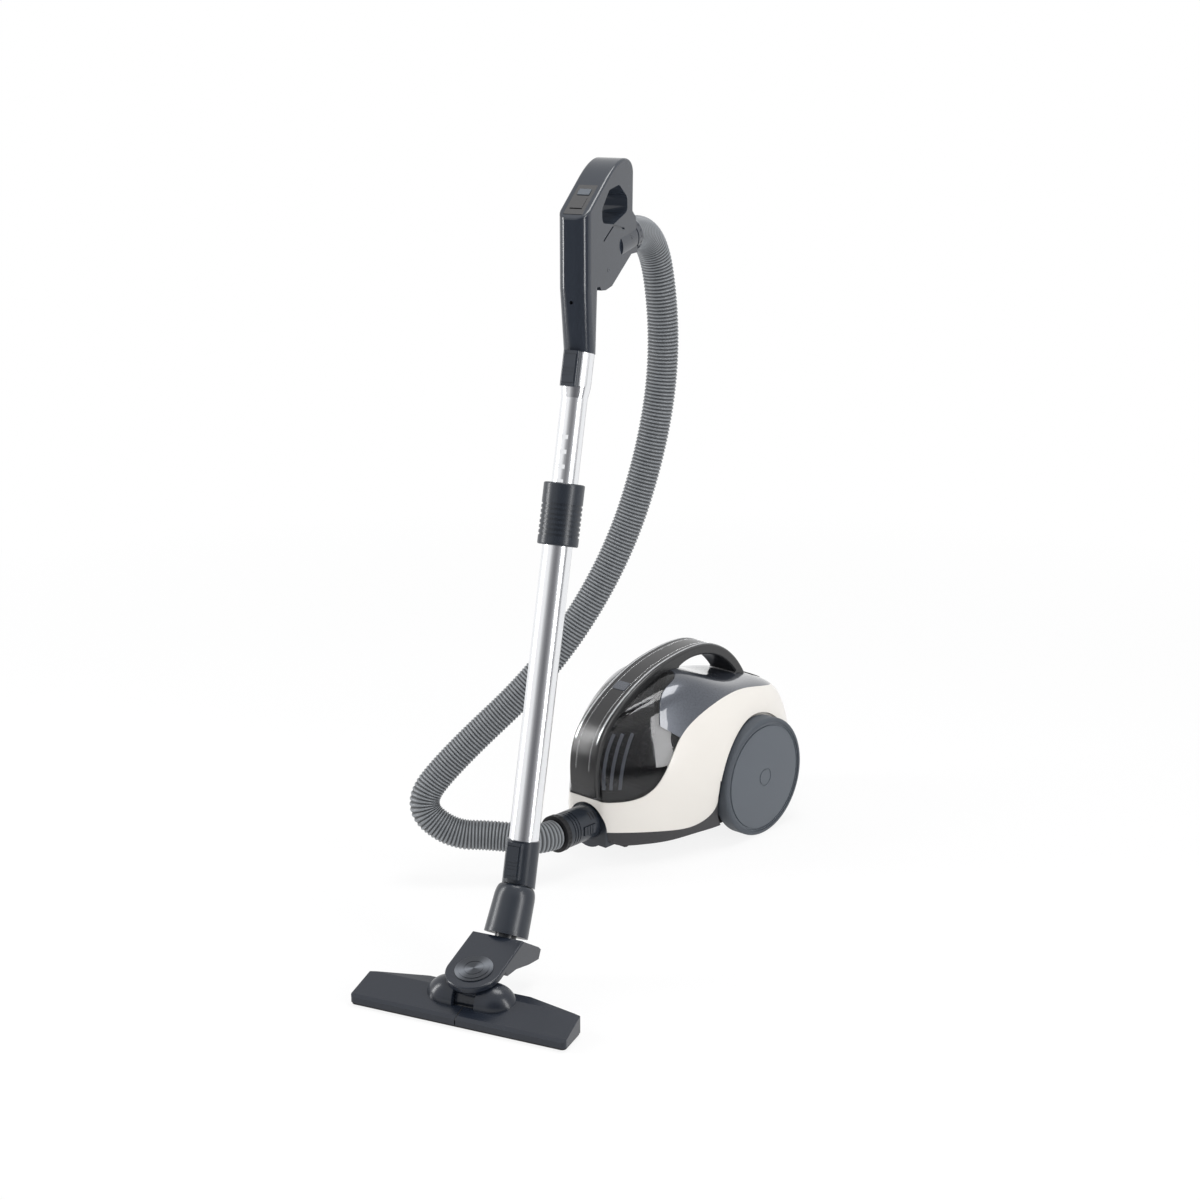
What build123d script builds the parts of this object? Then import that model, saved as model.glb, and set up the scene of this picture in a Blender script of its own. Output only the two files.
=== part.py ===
"""Canister vacuum cleaner with a smoked dust bin, ribbed hose, telescopic wand and floor head.

Millimetres, +Z up, floor at z = 0. The canister is drawn in its own frame, with the wheel axle over
y = 0 and the front towards -Y. The wand and the floor head are drawn in the head's frame, with the
head's front edge on y = 0. Both frames are placed in the row's frame when a piece is written.
"""
import os
from math import acos, cos, pi, radians, sin, tan

from build123d import *

os.makedirs("parts", exist_ok=True)

# Where the two sub-assemblies stand, and how the wand leans
CANISTER_AT = (-114.3, 302.0)
HEAD_FROM_CANISTER = (214.0, -700.5)
HEAD_TURN = 16.9
WAND_LEAN = 15.8
NECK_LEAN = 31.0

# Canister
WALL = 3.0
AXLE_Z = 84.0
WHEEL_R = 84.0
INLET_Z = 59.0
CUFF_R = 24.0
DRUM_Y, DRUM_Z, DRUM_R, DRUM_HALF = -150.0, 150.0, 56.0, 44.0
SPINE_HALF = 24.0

# Hose
HOSE_R, HOSE_ROOT_R, HOSE_BORE_R = 20.0, 18.3, 16.0
HOSE_RIBS = 190

# Wand
OUTER_R, OUTER_BORE = 18.0, 16.9
INNER_R, INNER_BORE = 15.75, 14.6
NOTCH_PITCH = 17.5

# Body stations: y, half width, top, bottom, shoulder fullness, height share of the widest line
STATIONS = (
    (-240, 24, 165, 100, 0.74, 0.40),
    (-230, 42, 184, 34, 0.74, 0.35),
    (-208, 60, 203, 27, 0.74, 0.34),
    (-175, 80, 221, 25, 0.745, 0.34),
    (-130, 98, 239, 25, 0.75, 0.34),
    (-85, 108, 243, 25, 0.76, 0.36),
    (-30, 112.5, 224, 25, 0.77, 0.41),
    (40, 107, 206, 25, 0.775, 0.43),
    (95, 86, 190, 28, 0.775, 0.42),
    (122, 62, 168, 36, 0.77, 0.42),
    (134, 38, 142, 56, 0.76, 0.42),
)
# The edge between the shell and what lies above it, in side view
CUT_LINE = (
    (-255, 93), (-225, 93), (-204, 97), (-189, 106), (-174, 124), (-158, 150), (-141, 173),
    (-113, 192), (-70, 205), (0, 204), (70, 190), (145, 174),
)
# The edge between the shell and the skirt, up to the front of the wheel
SKIRT_LINE = ((-255, 49), (-205, 47), (-155, 41), (-112, 41), (-94, 50), (-88, 76))
# The edge between the dust bin and the deck, from its nose up to the top
SEAM_LINE = ((-165, 189), (-159, 206), (-148, 221), (-116, 237), (-86, 246), (-60, 256))
# Outside of the bin's spine and carrying arch, from the front foot to the rear foot
SPINE_LINE = (
    (-246, 99), (-249, 135), (-243, 168), (-228, 192), (-205, 212), (-172, 232), (-132, 249),
    (-90, 259), (-45, 263.5), (-12, 261), (18, 250), (44, 232), (62, 212), (71, 198.5),
)
ARCH_INSIDE = ((-80, 241), (-50, 249.5), (-22, 248), (8, 239), (32, 223), (49, 205))

turn = radians(HEAD_TURN)
lean = radians(WAND_LEAN)
neck_lean = radians(NECK_LEAN)
CANISTER = Plane(origin=(*CANISTER_AT, 0))
HEAD = Plane(
    origin=(CANISTER_AT[0] + HEAD_FROM_CANISTER[0], CANISTER_AT[1] + HEAD_FROM_CANISTER[1], 0),
    x_dir=(cos(turn), sin(turn), 0),
    z_dir=(0, 0, 1),
)
# Planes of the wand and the head, in the head's frame
WAND = Plane(origin=(0, 176, 162), x_dir=(1, 0, 0), z_dir=(0, sin(lean), cos(lean)))
NECK = Plane(origin=(0, 128, 62), x_dir=(1, 0, 0), z_dir=(0, sin(neck_lean), cos(neck_lean)))


def write(piece, name, frame):
    """Label a piece, place it in the row's frame and write it."""
    placed = piece.part.moved(frame.location)
    placed.label = name
    export_step(placed, f"parts/{name}.step")


def rod(plane, radius, start, end, at=(0, 0)):
    """A round bar along a plane's normal."""
    with BuildPart() as bar:
        with BuildSketch(plane.offset(start)):
            with Locations(at):
                Circle(radius)
        extrude(amount=end - start)
    return bar.part


def block(plane, x, y, z):
    """A box between two values on each of a plane's axes."""
    with BuildPart() as box:
        with BuildSketch(plane.offset(z[0])):
            with Locations(((x[0] + x[1]) / 2, (y[0] + y[1]) / 2)):
                Rectangle(x[1] - x[0], y[1] - y[0])
        extrude(amount=z[1] - z[0])
    return box.part


def tube(plane, outer, inner, start, end):
    """A ring or pipe along a plane's normal."""
    with BuildPart() as pipe:
        with BuildSketch(plane.offset(start)):
            Circle(outer)
            Circle(inner, mode=Mode.SUBTRACT)
        extrude(amount=end - start)
    return pipe.part


def slab(outline, half):
    """A closed polygon in side view (y, z), as thick as twice half across X."""
    with BuildPart() as plate:
        with BuildSketch(Plane.YZ):
            with BuildLine():
                Polyline(*outline, close=True)
            make_face()
        extrude(amount=half, both=True)
    return plate.part


def hull(inset):
    """The canister's rounded body, with every side drawn in by inset."""
    first, last = STATIONS[0][0] + inset, STATIONS[-1][0] - inset
    with BuildPart() as body:
        for y, half, top, bottom, full, share in STATIONS:
            w, zt, zb = half - inset, top - inset, bottom + inset
            zm = zb + share * (zt - zb)
            zs = zm + full * (zt - zm)
            with BuildSketch(Plane.XZ.offset(-min(max(y, first), last))):
                with BuildLine():
                    Line((-0.82 * w, zb), (0.82 * w, zb))
                    right = ((0.82 * w, zb), (w, zm), (full * w, zs), (0, zt))
                    Spline(*right, tangents=((0.35, 1), (-1, 0)))
                    Spline(*[(-x, z) for x, z in reversed(right)], tangents=((-1, 0), (0.35, -1)))
                make_face()
        loft()
    return body.part


def below_cut(dy=0.0, dz=0.0):
    """All that lies under the shell's upper edge, shifted in side view."""
    line = [(y + dy, z + dz) for y, z in CUT_LINE]
    with BuildPart() as under:
        with BuildSketch(Plane.YZ):
            with BuildLine():
                Spline(*line)
                Polyline(line[-1], (line[-1][0], -20), (line[0][0], -20), line[0])
            make_face()
        extrude(amount=150, both=True)
    return under.part


def below_skirt():
    """All that lies under the skirt's edge: it runs high behind the wheels, to hold the axles."""
    with BuildPart() as under:
        with BuildSketch(Plane.YZ):
            with BuildLine():
                Spline(*SKIRT_LINE)
                Polyline(SKIRT_LINE[-1], (-88, 100), (88, 100), (88, 62), (150, 56))
                Polyline((150, 56), (150, -20), (-255, -20), SKIRT_LINE[0])
            make_face()
        extrude(amount=150, both=True)
    return under.part


def bin_zone(dy=0.0, dz=0.0):
    """The side-view field of the dust bin: in front of its seam with the deck."""
    seam = [(y + dy, z + dz) for y, z in SEAM_LINE]
    end = seam[-1]
    nose = seam[0]
    with BuildPart() as zone:
        with BuildSketch(Plane.YZ):
            with BuildLine():
                Spline(*seam)
                Polyline(end, (end[0], 330), (-300, 330), (-300, 0), (-90 + dy, 0))
                Polyline((-90 + dy, 0), (-90 + dy, 128 + dz), nose)
            make_face()
        extrude(amount=150, both=True)
    return zone.part


def wheel_drums(radius, start):
    """Two round fields across the axle, from start outwards on each side."""
    with BuildPart() as drums:
        for side in (-1, 1):
            with BuildSketch(Plane.YZ.offset(side * start)):
                with Locations((0, AXLE_Z)):
                    Circle(radius)
            extrude(amount=side * 60)
    return drums.part


def arch(half, base, centre, y0, y1):
    """A round-topped field along Y, for the hose inlet."""
    with BuildPart() as door:
        with BuildSketch(Plane.XZ.offset(-y0)):
            with Locations((0, centre)):
                Circle(half)
            with Locations((0, (centre + base) / 2)):
                Rectangle(2 * half, centre - base)
        extrude(amount=y0 - y1)
    return door.part


OUTER_HULL = hull(0)
INNER_HULL = hull(WALL)
UNDER_CUT = below_cut()
UNDER_SKIRT = below_skirt()
INLET = Plane.XZ

# Skin of the whole body, with wheel wells and the door for the hose inlet
with BuildPart() as cavity:
    add(INNER_HULL)
    add(wheel_drums(90.5, 83), mode=Mode.SUBTRACT)
with BuildPart() as skin:
    add(OUTER_HULL)
    add(cavity.part, mode=Mode.SUBTRACT)
    add(wheel_drums(87.5, 86), mode=Mode.SUBTRACT)
    add(arch(32, 20, 54, -250, -205), mode=Mode.SUBTRACT)

# Lower base: floor, skirt, axle bosses, caster cup, motor ribs and screw bosses
CASTER_Y = -172.0
SCREWS = ((-52, -110), (52, -110), (-48, 78), (48, 78))
with BuildPart() as lower_base:
    add(skin.part)
    add(UNDER_SKIRT, mode=Mode.INTERSECT)
    for side in (-1, 1):
        add(rod(Plane.YZ, 13, side * 74, side * 84, at=(0, AXLE_Z)))
    for y in (-44, 30):
        add(block(Plane.XY, (-34, 34), (y, y + 4), (27, 70)))
    add(rod(Plane.XY, 23, 26, 39, at=(0, CASTER_Y)))
    add(rod(Plane.XY, 8, 38, 54, at=(0, CASTER_Y)))
    for spot in SCREWS:
        add(rod(Plane.XY, 5, 27, 37, at=spot))
    for side in (-1, 1):
        add(block(Plane.XY, (side * 30 - 4, side * 30 + 4), (-147, -111), (26.5, 30)))
    add(rod(Plane.XZ, 52, -50, 66, at=(0, 92)), mode=Mode.SUBTRACT)
    add(rod(Plane.XY, 20.5, 20, 36, at=(0, CASTER_Y)), mode=Mode.SUBTRACT)
    add(rod(Plane.XY, 4.05, 30, 60, at=(0, CASTER_Y)), mode=Mode.SUBTRACT)
    for spot in SCREWS:
        add(rod(Plane.XY, 1.8, 20, 34, at=spot), mode=Mode.SUBTRACT)
    for side in (-1, 1):
        add(rod(Plane.YZ, 5, side * 72, side * 90, at=(0, AXLE_Z)), mode=Mode.SUBTRACT)
write(lower_base, "lower_base", CANISTER)

# Shell: the pale side wrap, with the exhaust window and the cord's outlet at the rear
with BuildPart() as body_shell:
    add(skin.part)
    add(UNDER_CUT, mode=Mode.INTERSECT)
    add(UNDER_SKIRT, mode=Mode.SUBTRACT)
    add(block(Plane.XY, (-24, 24), (118, 140), (78, 122)), mode=Mode.SUBTRACT)
    add(rod(Plane.XZ, 6, -140, -118, at=(0, 68)), mode=Mode.SUBTRACT)
write(body_shell, "body_shell", CANISTER)

# Deck behind the bin, with the opening for the rewind bar
BAR_X, BAR_Y = 30.0, (80.0, 97.0)
with BuildPart() as top_deck:
    add(skin.part)
    add(UNDER_CUT, mode=Mode.SUBTRACT)
    add(bin_zone(), mode=Mode.SUBTRACT)
    add(block(Plane.XY, (-BAR_X, BAR_X), BAR_Y, (150, 260)), mode=Mode.SUBTRACT)
write(top_deck, "top_deck", CANISTER)

with BuildPart() as rewind_button:
    add(hull(-0.8))
    add(hull(6), mode=Mode.SUBTRACT)
    bar_y = (BAR_Y[0] + 0.4, BAR_Y[1] - 0.4)
    add(block(Plane.XY, (0.4 - BAR_X, BAR_X - 0.4), bar_y, (150, 260)), mode=Mode.INTERSECT)
write(rewind_button, "rewind_button", CANISTER)

# Base screws, one node for the set
with BuildPart() as base_screws:
    for spot in SCREWS:
        add(rod(Plane.XY, 4, 22.6, 25, at=spot))
        add(rod(Plane.XY, 1.8, 25, 34, at=spot))
write(base_screws, "base_screws", CANISTER)

# Dust bin: a drum across the body with a clear front and top that carry on the body's outline
LIFT = Plane(origin=(0, DRUM_Y, DRUM_Z), x_dir=(1, 0, 0), z_dir=(0, -0.85, 0.527))
with BuildPart() as bin_room:
    add(INNER_HULL)
    add(bin_zone(-4.0, 0.5), mode=Mode.INTERSECT)
    add(below_cut(-2.8, 3.4), mode=Mode.SUBTRACT)
    with BuildSketch(Plane.YZ.offset(-DRUM_HALF + 2.5)):
        with Locations((DRUM_Y, DRUM_Z)):
            Circle(DRUM_R - 2.5)
    extrude(amount=2 * DRUM_HALF - 5)
with BuildPart() as dust_bin:
    add(OUTER_HULL)
    add(bin_zone(-0.8, 0.25), mode=Mode.INTERSECT)
    add(below_cut(-0.6, 0.4), mode=Mode.SUBTRACT)
    with BuildSketch(Plane.YZ.offset(-DRUM_HALF)):
        with Locations((DRUM_Y, DRUM_Z)):
            Circle(DRUM_R)
    extrude(amount=2 * DRUM_HALF)
    add(bin_room.part, mode=Mode.SUBTRACT)
    add(rod(Plane.XY, 14, 60, 125, at=(0, -196)), mode=Mode.SUBTRACT)
    add(rod(Plane.XZ, 15, 84, 112, at=(0, 135)), mode=Mode.SUBTRACT)
write(dust_bin, "dust_bin", CANISTER)

# Spine over the bin: it carries on behind as the carrying arch
BUTTON = Plane(origin=(0, -170, 233.2), x_dir=(1, 0, 0), z_dir=(0, -0.452, 0.892))
with BuildPart() as rear_guard:
    add(hull(-0.5))
    add(block(Plane.XY, (-60, 60), (-93.5, 140), (60, 300)), mode=Mode.INTERSECT)
with BuildPart() as bin_spine:
    with BuildSketch(Plane.YZ):
        with BuildLine():
            Spline(*SPINE_LINE)
            Polyline(SPINE_LINE[-1], (70, 188), (47, 188), ARCH_INSIDE[-1])
            Spline(*reversed(ARCH_INSIDE))
            Polyline(ARCH_INSIDE[0], (-120, 200), (-200, 150), (-222, 99), SPINE_LINE[0])
        make_face()
    extrude(amount=SPINE_HALF, both=True)
    fillet([e for e in bin_spine.edges() if e.geom_type == GeomType.BSPLINE], radius=3)
    add(OUTER_HULL, mode=Mode.SUBTRACT)
    add(rear_guard.part, mode=Mode.SUBTRACT)
    add(block(BUTTON, (-11, 11), (-8, 8), (-5.5, 12)), mode=Mode.SUBTRACT)
write(bin_spine, "bin_spine", CANISTER)

with BuildPart() as bin_trims:
    for side in (-1, 1):
        with BuildSketch(Plane.YZ.offset(side * 17.5)):
            with BuildLine():
                Spline(*SPINE_LINE)
            trace(line_width=1.4)
        extrude(amount=side * 2.5)
    add(bin_spine.part, mode=Mode.SUBTRACT)
    add(block(Plane.XY, (-40, 40), (-241, 66), (110, 300)), mode=Mode.INTERSECT)
write(bin_trims, "bin_trims", CANISTER)

with BuildPart() as bin_button:
    add(block(BUTTON, (-10.6, 10.6), (-7.6, 7.6), (-2.8, 1.0)))
    fillet(bin_button.edges().filter_by(Axis(BUTTON.origin, BUTTON.z_dir)), radius=2)
write(bin_button, "bin_button", CANISTER)

# Inside the bin: slotted shroud across the drum and a sweeping paddle on it
with BuildPart() as mesh_shroud:
    with BuildSketch(Plane.YZ.offset(2.5 - DRUM_HALF)):
        with Locations((DRUM_Y, DRUM_Z)):
            Circle(24)
            Circle(22, mode=Mode.SUBTRACT)
            with PolarLocations(23, 12):
                Rectangle(8, 3)
    extrude(amount=2 * DRUM_HALF - 5)
    with BuildSketch(Plane.YZ.offset(-26)):
        with Locations((DRUM_Y, DRUM_Z)):
            with PolarLocations(23, 12, start_angle=15):
                Rectangle(8, 7)
    extrude(amount=52, mode=Mode.SUBTRACT)
write(mesh_shroud, "mesh_shroud", CANISTER)

DRUM_AXIS = Plane(origin=(0, DRUM_Y, DRUM_Z), x_dir=(0, 1, 0), z_dir=(1, 0, 0))
with BuildPart() as bin_paddle:
    for side in (-1, 1):
        add(tube(DRUM_AXIS, 31, 27.6, side * 32, side * 38))
    add(block(DRUM_AXIS, (-1.25, 1.25), (-51, -28.5), (-38, 38)))
write(bin_paddle, "bin_paddle", CANISTER)

# Cradle under the drum
with BuildPart() as bin_cradle:
    with BuildSketch(Plane.YZ):
        with Locations((DRUM_Y, DRUM_Z)):
            Circle(60.5)
            Circle(58.5, mode=Mode.SUBTRACT)
    extrude(amount=46, both=True)
    for side in (-1, 1):
        add(block(Plane.XY, (side * 30 - 2, side * 30 + 2), (-146, -112), (30, 112)))
    add(rod(DRUM_AXIS, 58.5, -60, 60), mode=Mode.SUBTRACT)
    add(block(LIFT, (-60, 60), (-120, 120), (-5, 100)), mode=Mode.SUBTRACT)
    add(rod(Plane.XZ, 15, 80, 112, at=(0, 135)), mode=Mode.SUBTRACT)
write(bin_cradle, "bin_cradle", CANISTER)

# Hose inlet under the nose
with BuildPart() as inlet_socket:
    add(arch(32, 28, 54, -238, -205))
    add(rod(Plane.XY, 19, 40, 93, at=(0, -200)))
    add(rod(INLET, CUFF_R + 0.3, 212, 250, at=(0, INLET_Z)), mode=Mode.SUBTRACT)
    add(rod(INLET, 16, 200, 213, at=(0, INLET_Z)), mode=Mode.SUBTRACT)
    add(rod(Plane.XY, 16, 43, 95, at=(0, -200)), mode=Mode.SUBTRACT)
write(inlet_socket, "inlet_socket", CANISTER)

# Cuff on the hose, with its two release buttons
HOSE_AXIS = Plane(origin=(0, 0, INLET_Z), x_dir=(1, 0, 0), z_dir=(0, -1, 0))
with BuildPart() as hose_cuff:
    add(tube(HOSE_AXIS, CUFF_R, 17.5, 212, 296))
    for at in (240, 278, 283, 288):
        add(tube(HOSE_AXIS, 27, 23, at - 0.8, at + 0.8), mode=Mode.SUBTRACT)
    for side in (-1, 1):
        pocket = sorted((side * 20.2, side * 30))
        add(block(Plane.XY, pocket, (-272, -250), (INLET_Z - 6.5, INLET_Z + 6.5)), mode=Mode.SUBTRACT)
write(hose_cuff, "hose_cuff", CANISTER)

for side, name in ((-1, "cuff_button_left"), (1, "cuff_button_right")):
    with BuildPart() as cuff_button:
        depth = sorted((side * 22, side * 25.2))
        add(block(Plane.XY, depth, (-271.6, -250.4), (INLET_Z - 6.1, INLET_Z + 6.1)))
        for y in (-266, -261, -256):
            groove = sorted((side * 24.6, side * 27))
            add(block(Plane.XY, groove, (y - 0.7, y + 0.7), (INLET_Z - 8, INLET_Z + 8)), mode=Mode.SUBTRACT)
    write(cuff_button, name, CANISTER)

with BuildPart() as hose_ring:
    add(tube(HOSE_AXIS, 25.2, 17.5, 296.3, 304))
    with BuildSketch(HOSE_AXIS.offset(298)):
        with PolarLocations(25.6, 24):
            Rectangle(1.6, 2)
    extrude(amount=4, mode=Mode.SUBTRACT)
write(hose_ring, "hose_ring", CANISTER)

# Motor, filters and cord reel
with BuildPart() as pre_filter:
    add(rod(Plane.XZ, 40, 66, 80, at=(0, 100)))
    with BuildSketch(Plane.XZ.offset(80)):
        with Locations((0, 100)):
            with GridLocations(8, 0, 8, 1):
                Rectangle(4, 44)
    extrude(amount=-6, mode=Mode.SUBTRACT)
write(pre_filter, "pre_filter", CANISTER)

MOTOR = Plane(origin=(0, 0, 92), x_dir=(1, 0, 0), z_dir=(0, 1, 0))
with BuildPart() as motor_case:
    add(rod(MOTOR, 52, -66, 50))
    add(rod(MOTOR, 49, -63, 47), mode=Mode.SUBTRACT)
    add(rod(MOTOR, 30, -20, 48))
    add(rod(MOTOR, 4.05, -30, 60), mode=Mode.SUBTRACT)
    add(rod(MOTOR, 18, -70, -60), mode=Mode.SUBTRACT)
    with BuildSketch(MOTOR.offset(44)):
        with PolarLocations(42, 10):
            Rectangle(9, 6)
    extrude(amount=10, mode=Mode.SUBTRACT)
write(motor_case, "motor_case", CANISTER)

with BuildPart() as impeller:
    add(rod(MOTOR, 44, -36, -33))
    add(rod(MOTOR, 10, -50, -34))
    add(rod(MOTOR, 4, -34, 40))
    with BuildSketch(MOTOR.offset(-50)):
        with PolarLocations(26, 9):
            Rectangle(34, 2, rotation=28)
    extrude(amount=15)
write(impeller, "impeller", CANISTER)

with BuildPart() as reel_plate:
    add(block(Plane.XY, (-58, 58), (-32, 74), (144, 147)))
    add(block(Plane.XY, (-22, 22), (-40, 44), (136, 146)))
    add(rod(Plane.XY, 4, 146, 179, at=(0, 20)))
    add(rod(MOTOR, 52, -70, 60), mode=Mode.SUBTRACT)
write(reel_plate, "reel_plate", CANISTER)

with BuildPart() as cord_reel:
    for z in (150, 174):
        add(rod(Plane.XY, 52, z, z + 2, at=(0, 20)))
    add(rod(Plane.XY, 26, 151, 175, at=(0, 20)))
    add(rod(Plane.XY, 4.05, 140, 190, at=(0, 20)), mode=Mode.SUBTRACT)
write(cord_reel, "cord_reel", CANISTER)

with BuildPart() as exhaust_filter:
    add(block(Plane.XY, (-22, 22), (108, 128), (80, 120)))
    for i in range(7):
        add(block(Plane.XY, (-19.2 + 6 * i, -16.8 + 6 * i), (104, 122), (84, 116)), mode=Mode.SUBTRACT)
write(exhaust_filter, "exhaust_filter", CANISTER)

with BuildPart() as exhaust_grille:
    add(block(Plane.XY, (-24, 24), (128, 133.6), (78, 122)))
    for i in range(6):
        add(block(Plane.XY, (-20, 20), (120, 140), (83 + 6 * i, 86.4 + 6 * i)), mode=Mode.SUBTRACT)
write(exhaust_grille, "exhaust_grille", CANISTER)

with BuildPart() as cord_outlet:
    add(rod(Plane.XZ, 6, -134, -126, at=(0, 68)))
    add(rod(Plane.XZ, 8.5, -135.5, -134, at=(0, 68)))
    add(rod(Plane.XZ, 3.5, -140, -120, at=(0, 68)), mode=Mode.SUBTRACT)
write(cord_outlet, "cord_outlet", CANISTER)

# Rear wheels: tyre and disc turn on a fixed pin
AXLE = Plane(origin=(0, 0, AXLE_Z), x_dir=(0, 1, 0), z_dir=(1, 0, 0))
with BuildPart() as axle_pins:
    for side in (-1, 1):
        add(rod(AXLE, 5, side * 74, side * 112))
write(axle_pins, "axle_pins", CANISTER)

for side, word in ((-1, "left"), (1, "right")):
    with BuildPart() as tyre:
        add(tube(AXLE, WHEEL_R, 78, side * 91, side * 116))
        rims = tyre.edges().filter_by(GeomType.CIRCLE).filter_by(lambda e: abs(e.radius - WHEEL_R) < 0.1)
        fillet(rims, radius=4)
    write(tyre, f"tyre_{word}", CANISTER)

    with BuildPart() as wheel_disc:
        with BuildSketch(Plane.XY.offset(AXLE_Z)):
            with BuildLine():
                Polyline(
                    (side * 91, 5.05), (side * 91, 13), (side * 108, 15), (side * 106, 72), (side * 91, 74),
                    (side * 91, 78), (side * 114.5, 78), (side * 114.8, 76), (side * 113.4, 75.4),
                    (side * 113.4, 73.6), (side * 115, 73),
                )
                RadiusArc((side * 115, 73), (side * 116.8, 13), side * 700)
                Polyline(
                    (side * 116.8, 13), (side * 116, 12.6), (side * 116, 11), (side * 117, 10.6),
                    (side * 117, 0), (side * 112.4, 0), (side * 112.4, 5.05), (side * 91, 5.05),
                )
            make_face()
        revolve(axis=Axis((0, 0, AXLE_Z), (1, 0, 0)))
    write(wheel_disc, f"wheel_disc_{word}", CANISTER)

# Front caster
TRAIL = CASTER_Y + 7
CASTER_AXLE = Plane(origin=(0, TRAIL, 11), x_dir=(0, 1, 0), z_dir=(1, 0, 0))
with BuildPart() as caster_fork:
    add(rod(Plane.XY, 18, 30, 34, at=(0, CASTER_Y)))
    add(rod(Plane.XY, 4, 33, 52, at=(0, CASTER_Y)))
    for side in (-1, 1):
        add(block(Plane.XY, sorted((side * 8, side * 11)), (TRAIL - 5, TRAIL + 5), (6, 31)))
    add(rod(CASTER_AXLE, 2.5, -14, 14), mode=Mode.SUBTRACT)
write(caster_fork, "caster_fork", CANISTER)

with BuildPart() as caster_pin:
    add(rod(CASTER_AXLE, 2.5, -11, 11))
write(caster_pin, "caster_pin", CANISTER)

with BuildPart() as caster_wheel:
    add(tube(CASTER_AXLE, 11, 2.55, -7.4, 7.4))
    rims = caster_wheel.edges().filter_by(GeomType.CIRCLE).filter_by(lambda e: abs(e.radius - 11) < 0.1)
    fillet(rims, radius=2.5)
write(caster_wheel, "caster_wheel", CANISTER)

# Floor head: sole, cover with two ears, and the joint block between the ears
HINGE_Y, HINGE_Z = 42.0, 18.0
HINGE = Plane(origin=(0, HINGE_Y, HINGE_Z), x_dir=(0, 1, 0), z_dir=(1, 0, 0))
PLATE = Plane(origin=(0, 48, 53), x_dir=(1, 0, 0), z_dir=(0, -0.2588, 0.9659))
SLOT_HALF, TONGUE_HALF = 14.6, 14.0
ROLLERS = (-104.0, 104.0)
ROLLER_Y, ROLLER_Z = 34.0, 6.0


def head_plan(inset, z0, z1):
    """The head's outline seen from above, drawn in by inset, between two heights."""
    x, y, rear = 139 - inset, inset, 44 - inset
    with BuildPart() as plan:
        with BuildSketch(Plane.XY.offset(z0)) as field:
            with BuildLine():
                Polyline((2 - x, rear), (-x, y), (x, y), (x - 2, rear), (66, 61 - inset))
                Polyline((66, 61 - inset), (-66, 61 - inset), (2 - x, rear))
            make_face()
            fillet(field.vertices().group_by(Axis.Y)[0], radius=5)
            fillet(field.vertices().group_by(Axis.Y)[-1], radius=12)
        extrude(amount=z1 - z0)
    return plan.part


def ear(side):
    """A domed ear beside the joint block, round about the tilt axis and cut off above the sole."""
    with BuildPart() as dome:
        with BuildSketch(Plane.XY.offset(HINGE_Z)):
            with BuildLine():
                RadiusArc((side * 58, HINGE_Y), (side * 28, HINGE_Y + 24), -side * 30.7)
                Polyline((side * 28, HINGE_Y + 24), (side * SLOT_HALF, HINGE_Y + 24))
                Polyline((side * SLOT_HALF, HINGE_Y + 24), (side * SLOT_HALF, HINGE_Y), (side * 58, HINGE_Y))
            make_face()
        revolve(axis=Axis((0, HINGE_Y, HINGE_Z), (1, 0, 0)))
        add(block(Plane.XY, (-60, 60), (0, 90), (4, 60)), mode=Mode.INTERSECT)
    return dome.part


with BuildPart() as head_hollow:
    add(head_plan(3, 0, 60))
    add(slab(((-5, 0), (-5, 7), (5, 10), (46, 21.5), (70, 22.5), (70, 0)), 150), mode=Mode.INTERSECT)
with BuildPart() as head_cover:
    add(head_plan(0, 4, 60))
    add(slab(((-5, 4), (-5, 9), (0, 11), (5, 13.5), (46, 25), (70, 26), (70, 4)), 150), mode=Mode.INTERSECT)
    add(head_hollow.part, mode=Mode.SUBTRACT)
    for side in (-1, 1):
        add(ear(side))
    add(block(Plane.XY, (-SLOT_HALF, SLOT_HALF), (21, 80), (0, 60)), mode=Mode.SUBTRACT)
    add(rod(HINGE, 4, -40, 40), mode=Mode.SUBTRACT)
    add(block(Plane.XY, (-0.6, 0.6), (-6, 12), (3, 13)), mode=Mode.SUBTRACT)
write(head_cover, "head_cover", HEAD)

with BuildPart() as sole_plate:
    add(head_plan(1, 1.6, 4))
    add(block(Plane.XY, (-SLOT_HALF, SLOT_HALF), (34, 80), (0, 8)), mode=Mode.SUBTRACT)
    add(block(Plane.XY, (-85, 85), (11, 23), (0, 8)), mode=Mode.SUBTRACT)
    for x in ROLLERS:
        add(block(Plane.XY, (x - 6, x + 6), (ROLLER_Y - 8, ROLLER_Y + 8), (0, 8)), mode=Mode.SUBTRACT)
        for dx in (-8, 6):
            add(block(Plane.XY, (x + dx, x + dx + 2), (ROLLER_Y - 4, ROLLER_Y + 2.6), (3, 9)))
        add(rod(Plane.YZ, 1.5, x - 10, x + 10, at=(ROLLER_Y, ROLLER_Z)), mode=Mode.SUBTRACT)
write(sole_plate, "sole_plate", HEAD)

with BuildPart() as lint_pads:
    for side in (-1, 1):
        for y in (5, 27):
            add(block(Plane.XY, sorted((side * 30, side * 90)), (y, y + 4), (0, 1.6)))
write(lint_pads, "lint_pads", HEAD)

with BuildPart() as roller_pins:
    for x in ROLLERS:
        add(rod(Plane.YZ, 1.5, x - 8, x + 8, at=(ROLLER_Y, ROLLER_Z)))
write(roller_pins, "roller_pins", HEAD)

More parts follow.
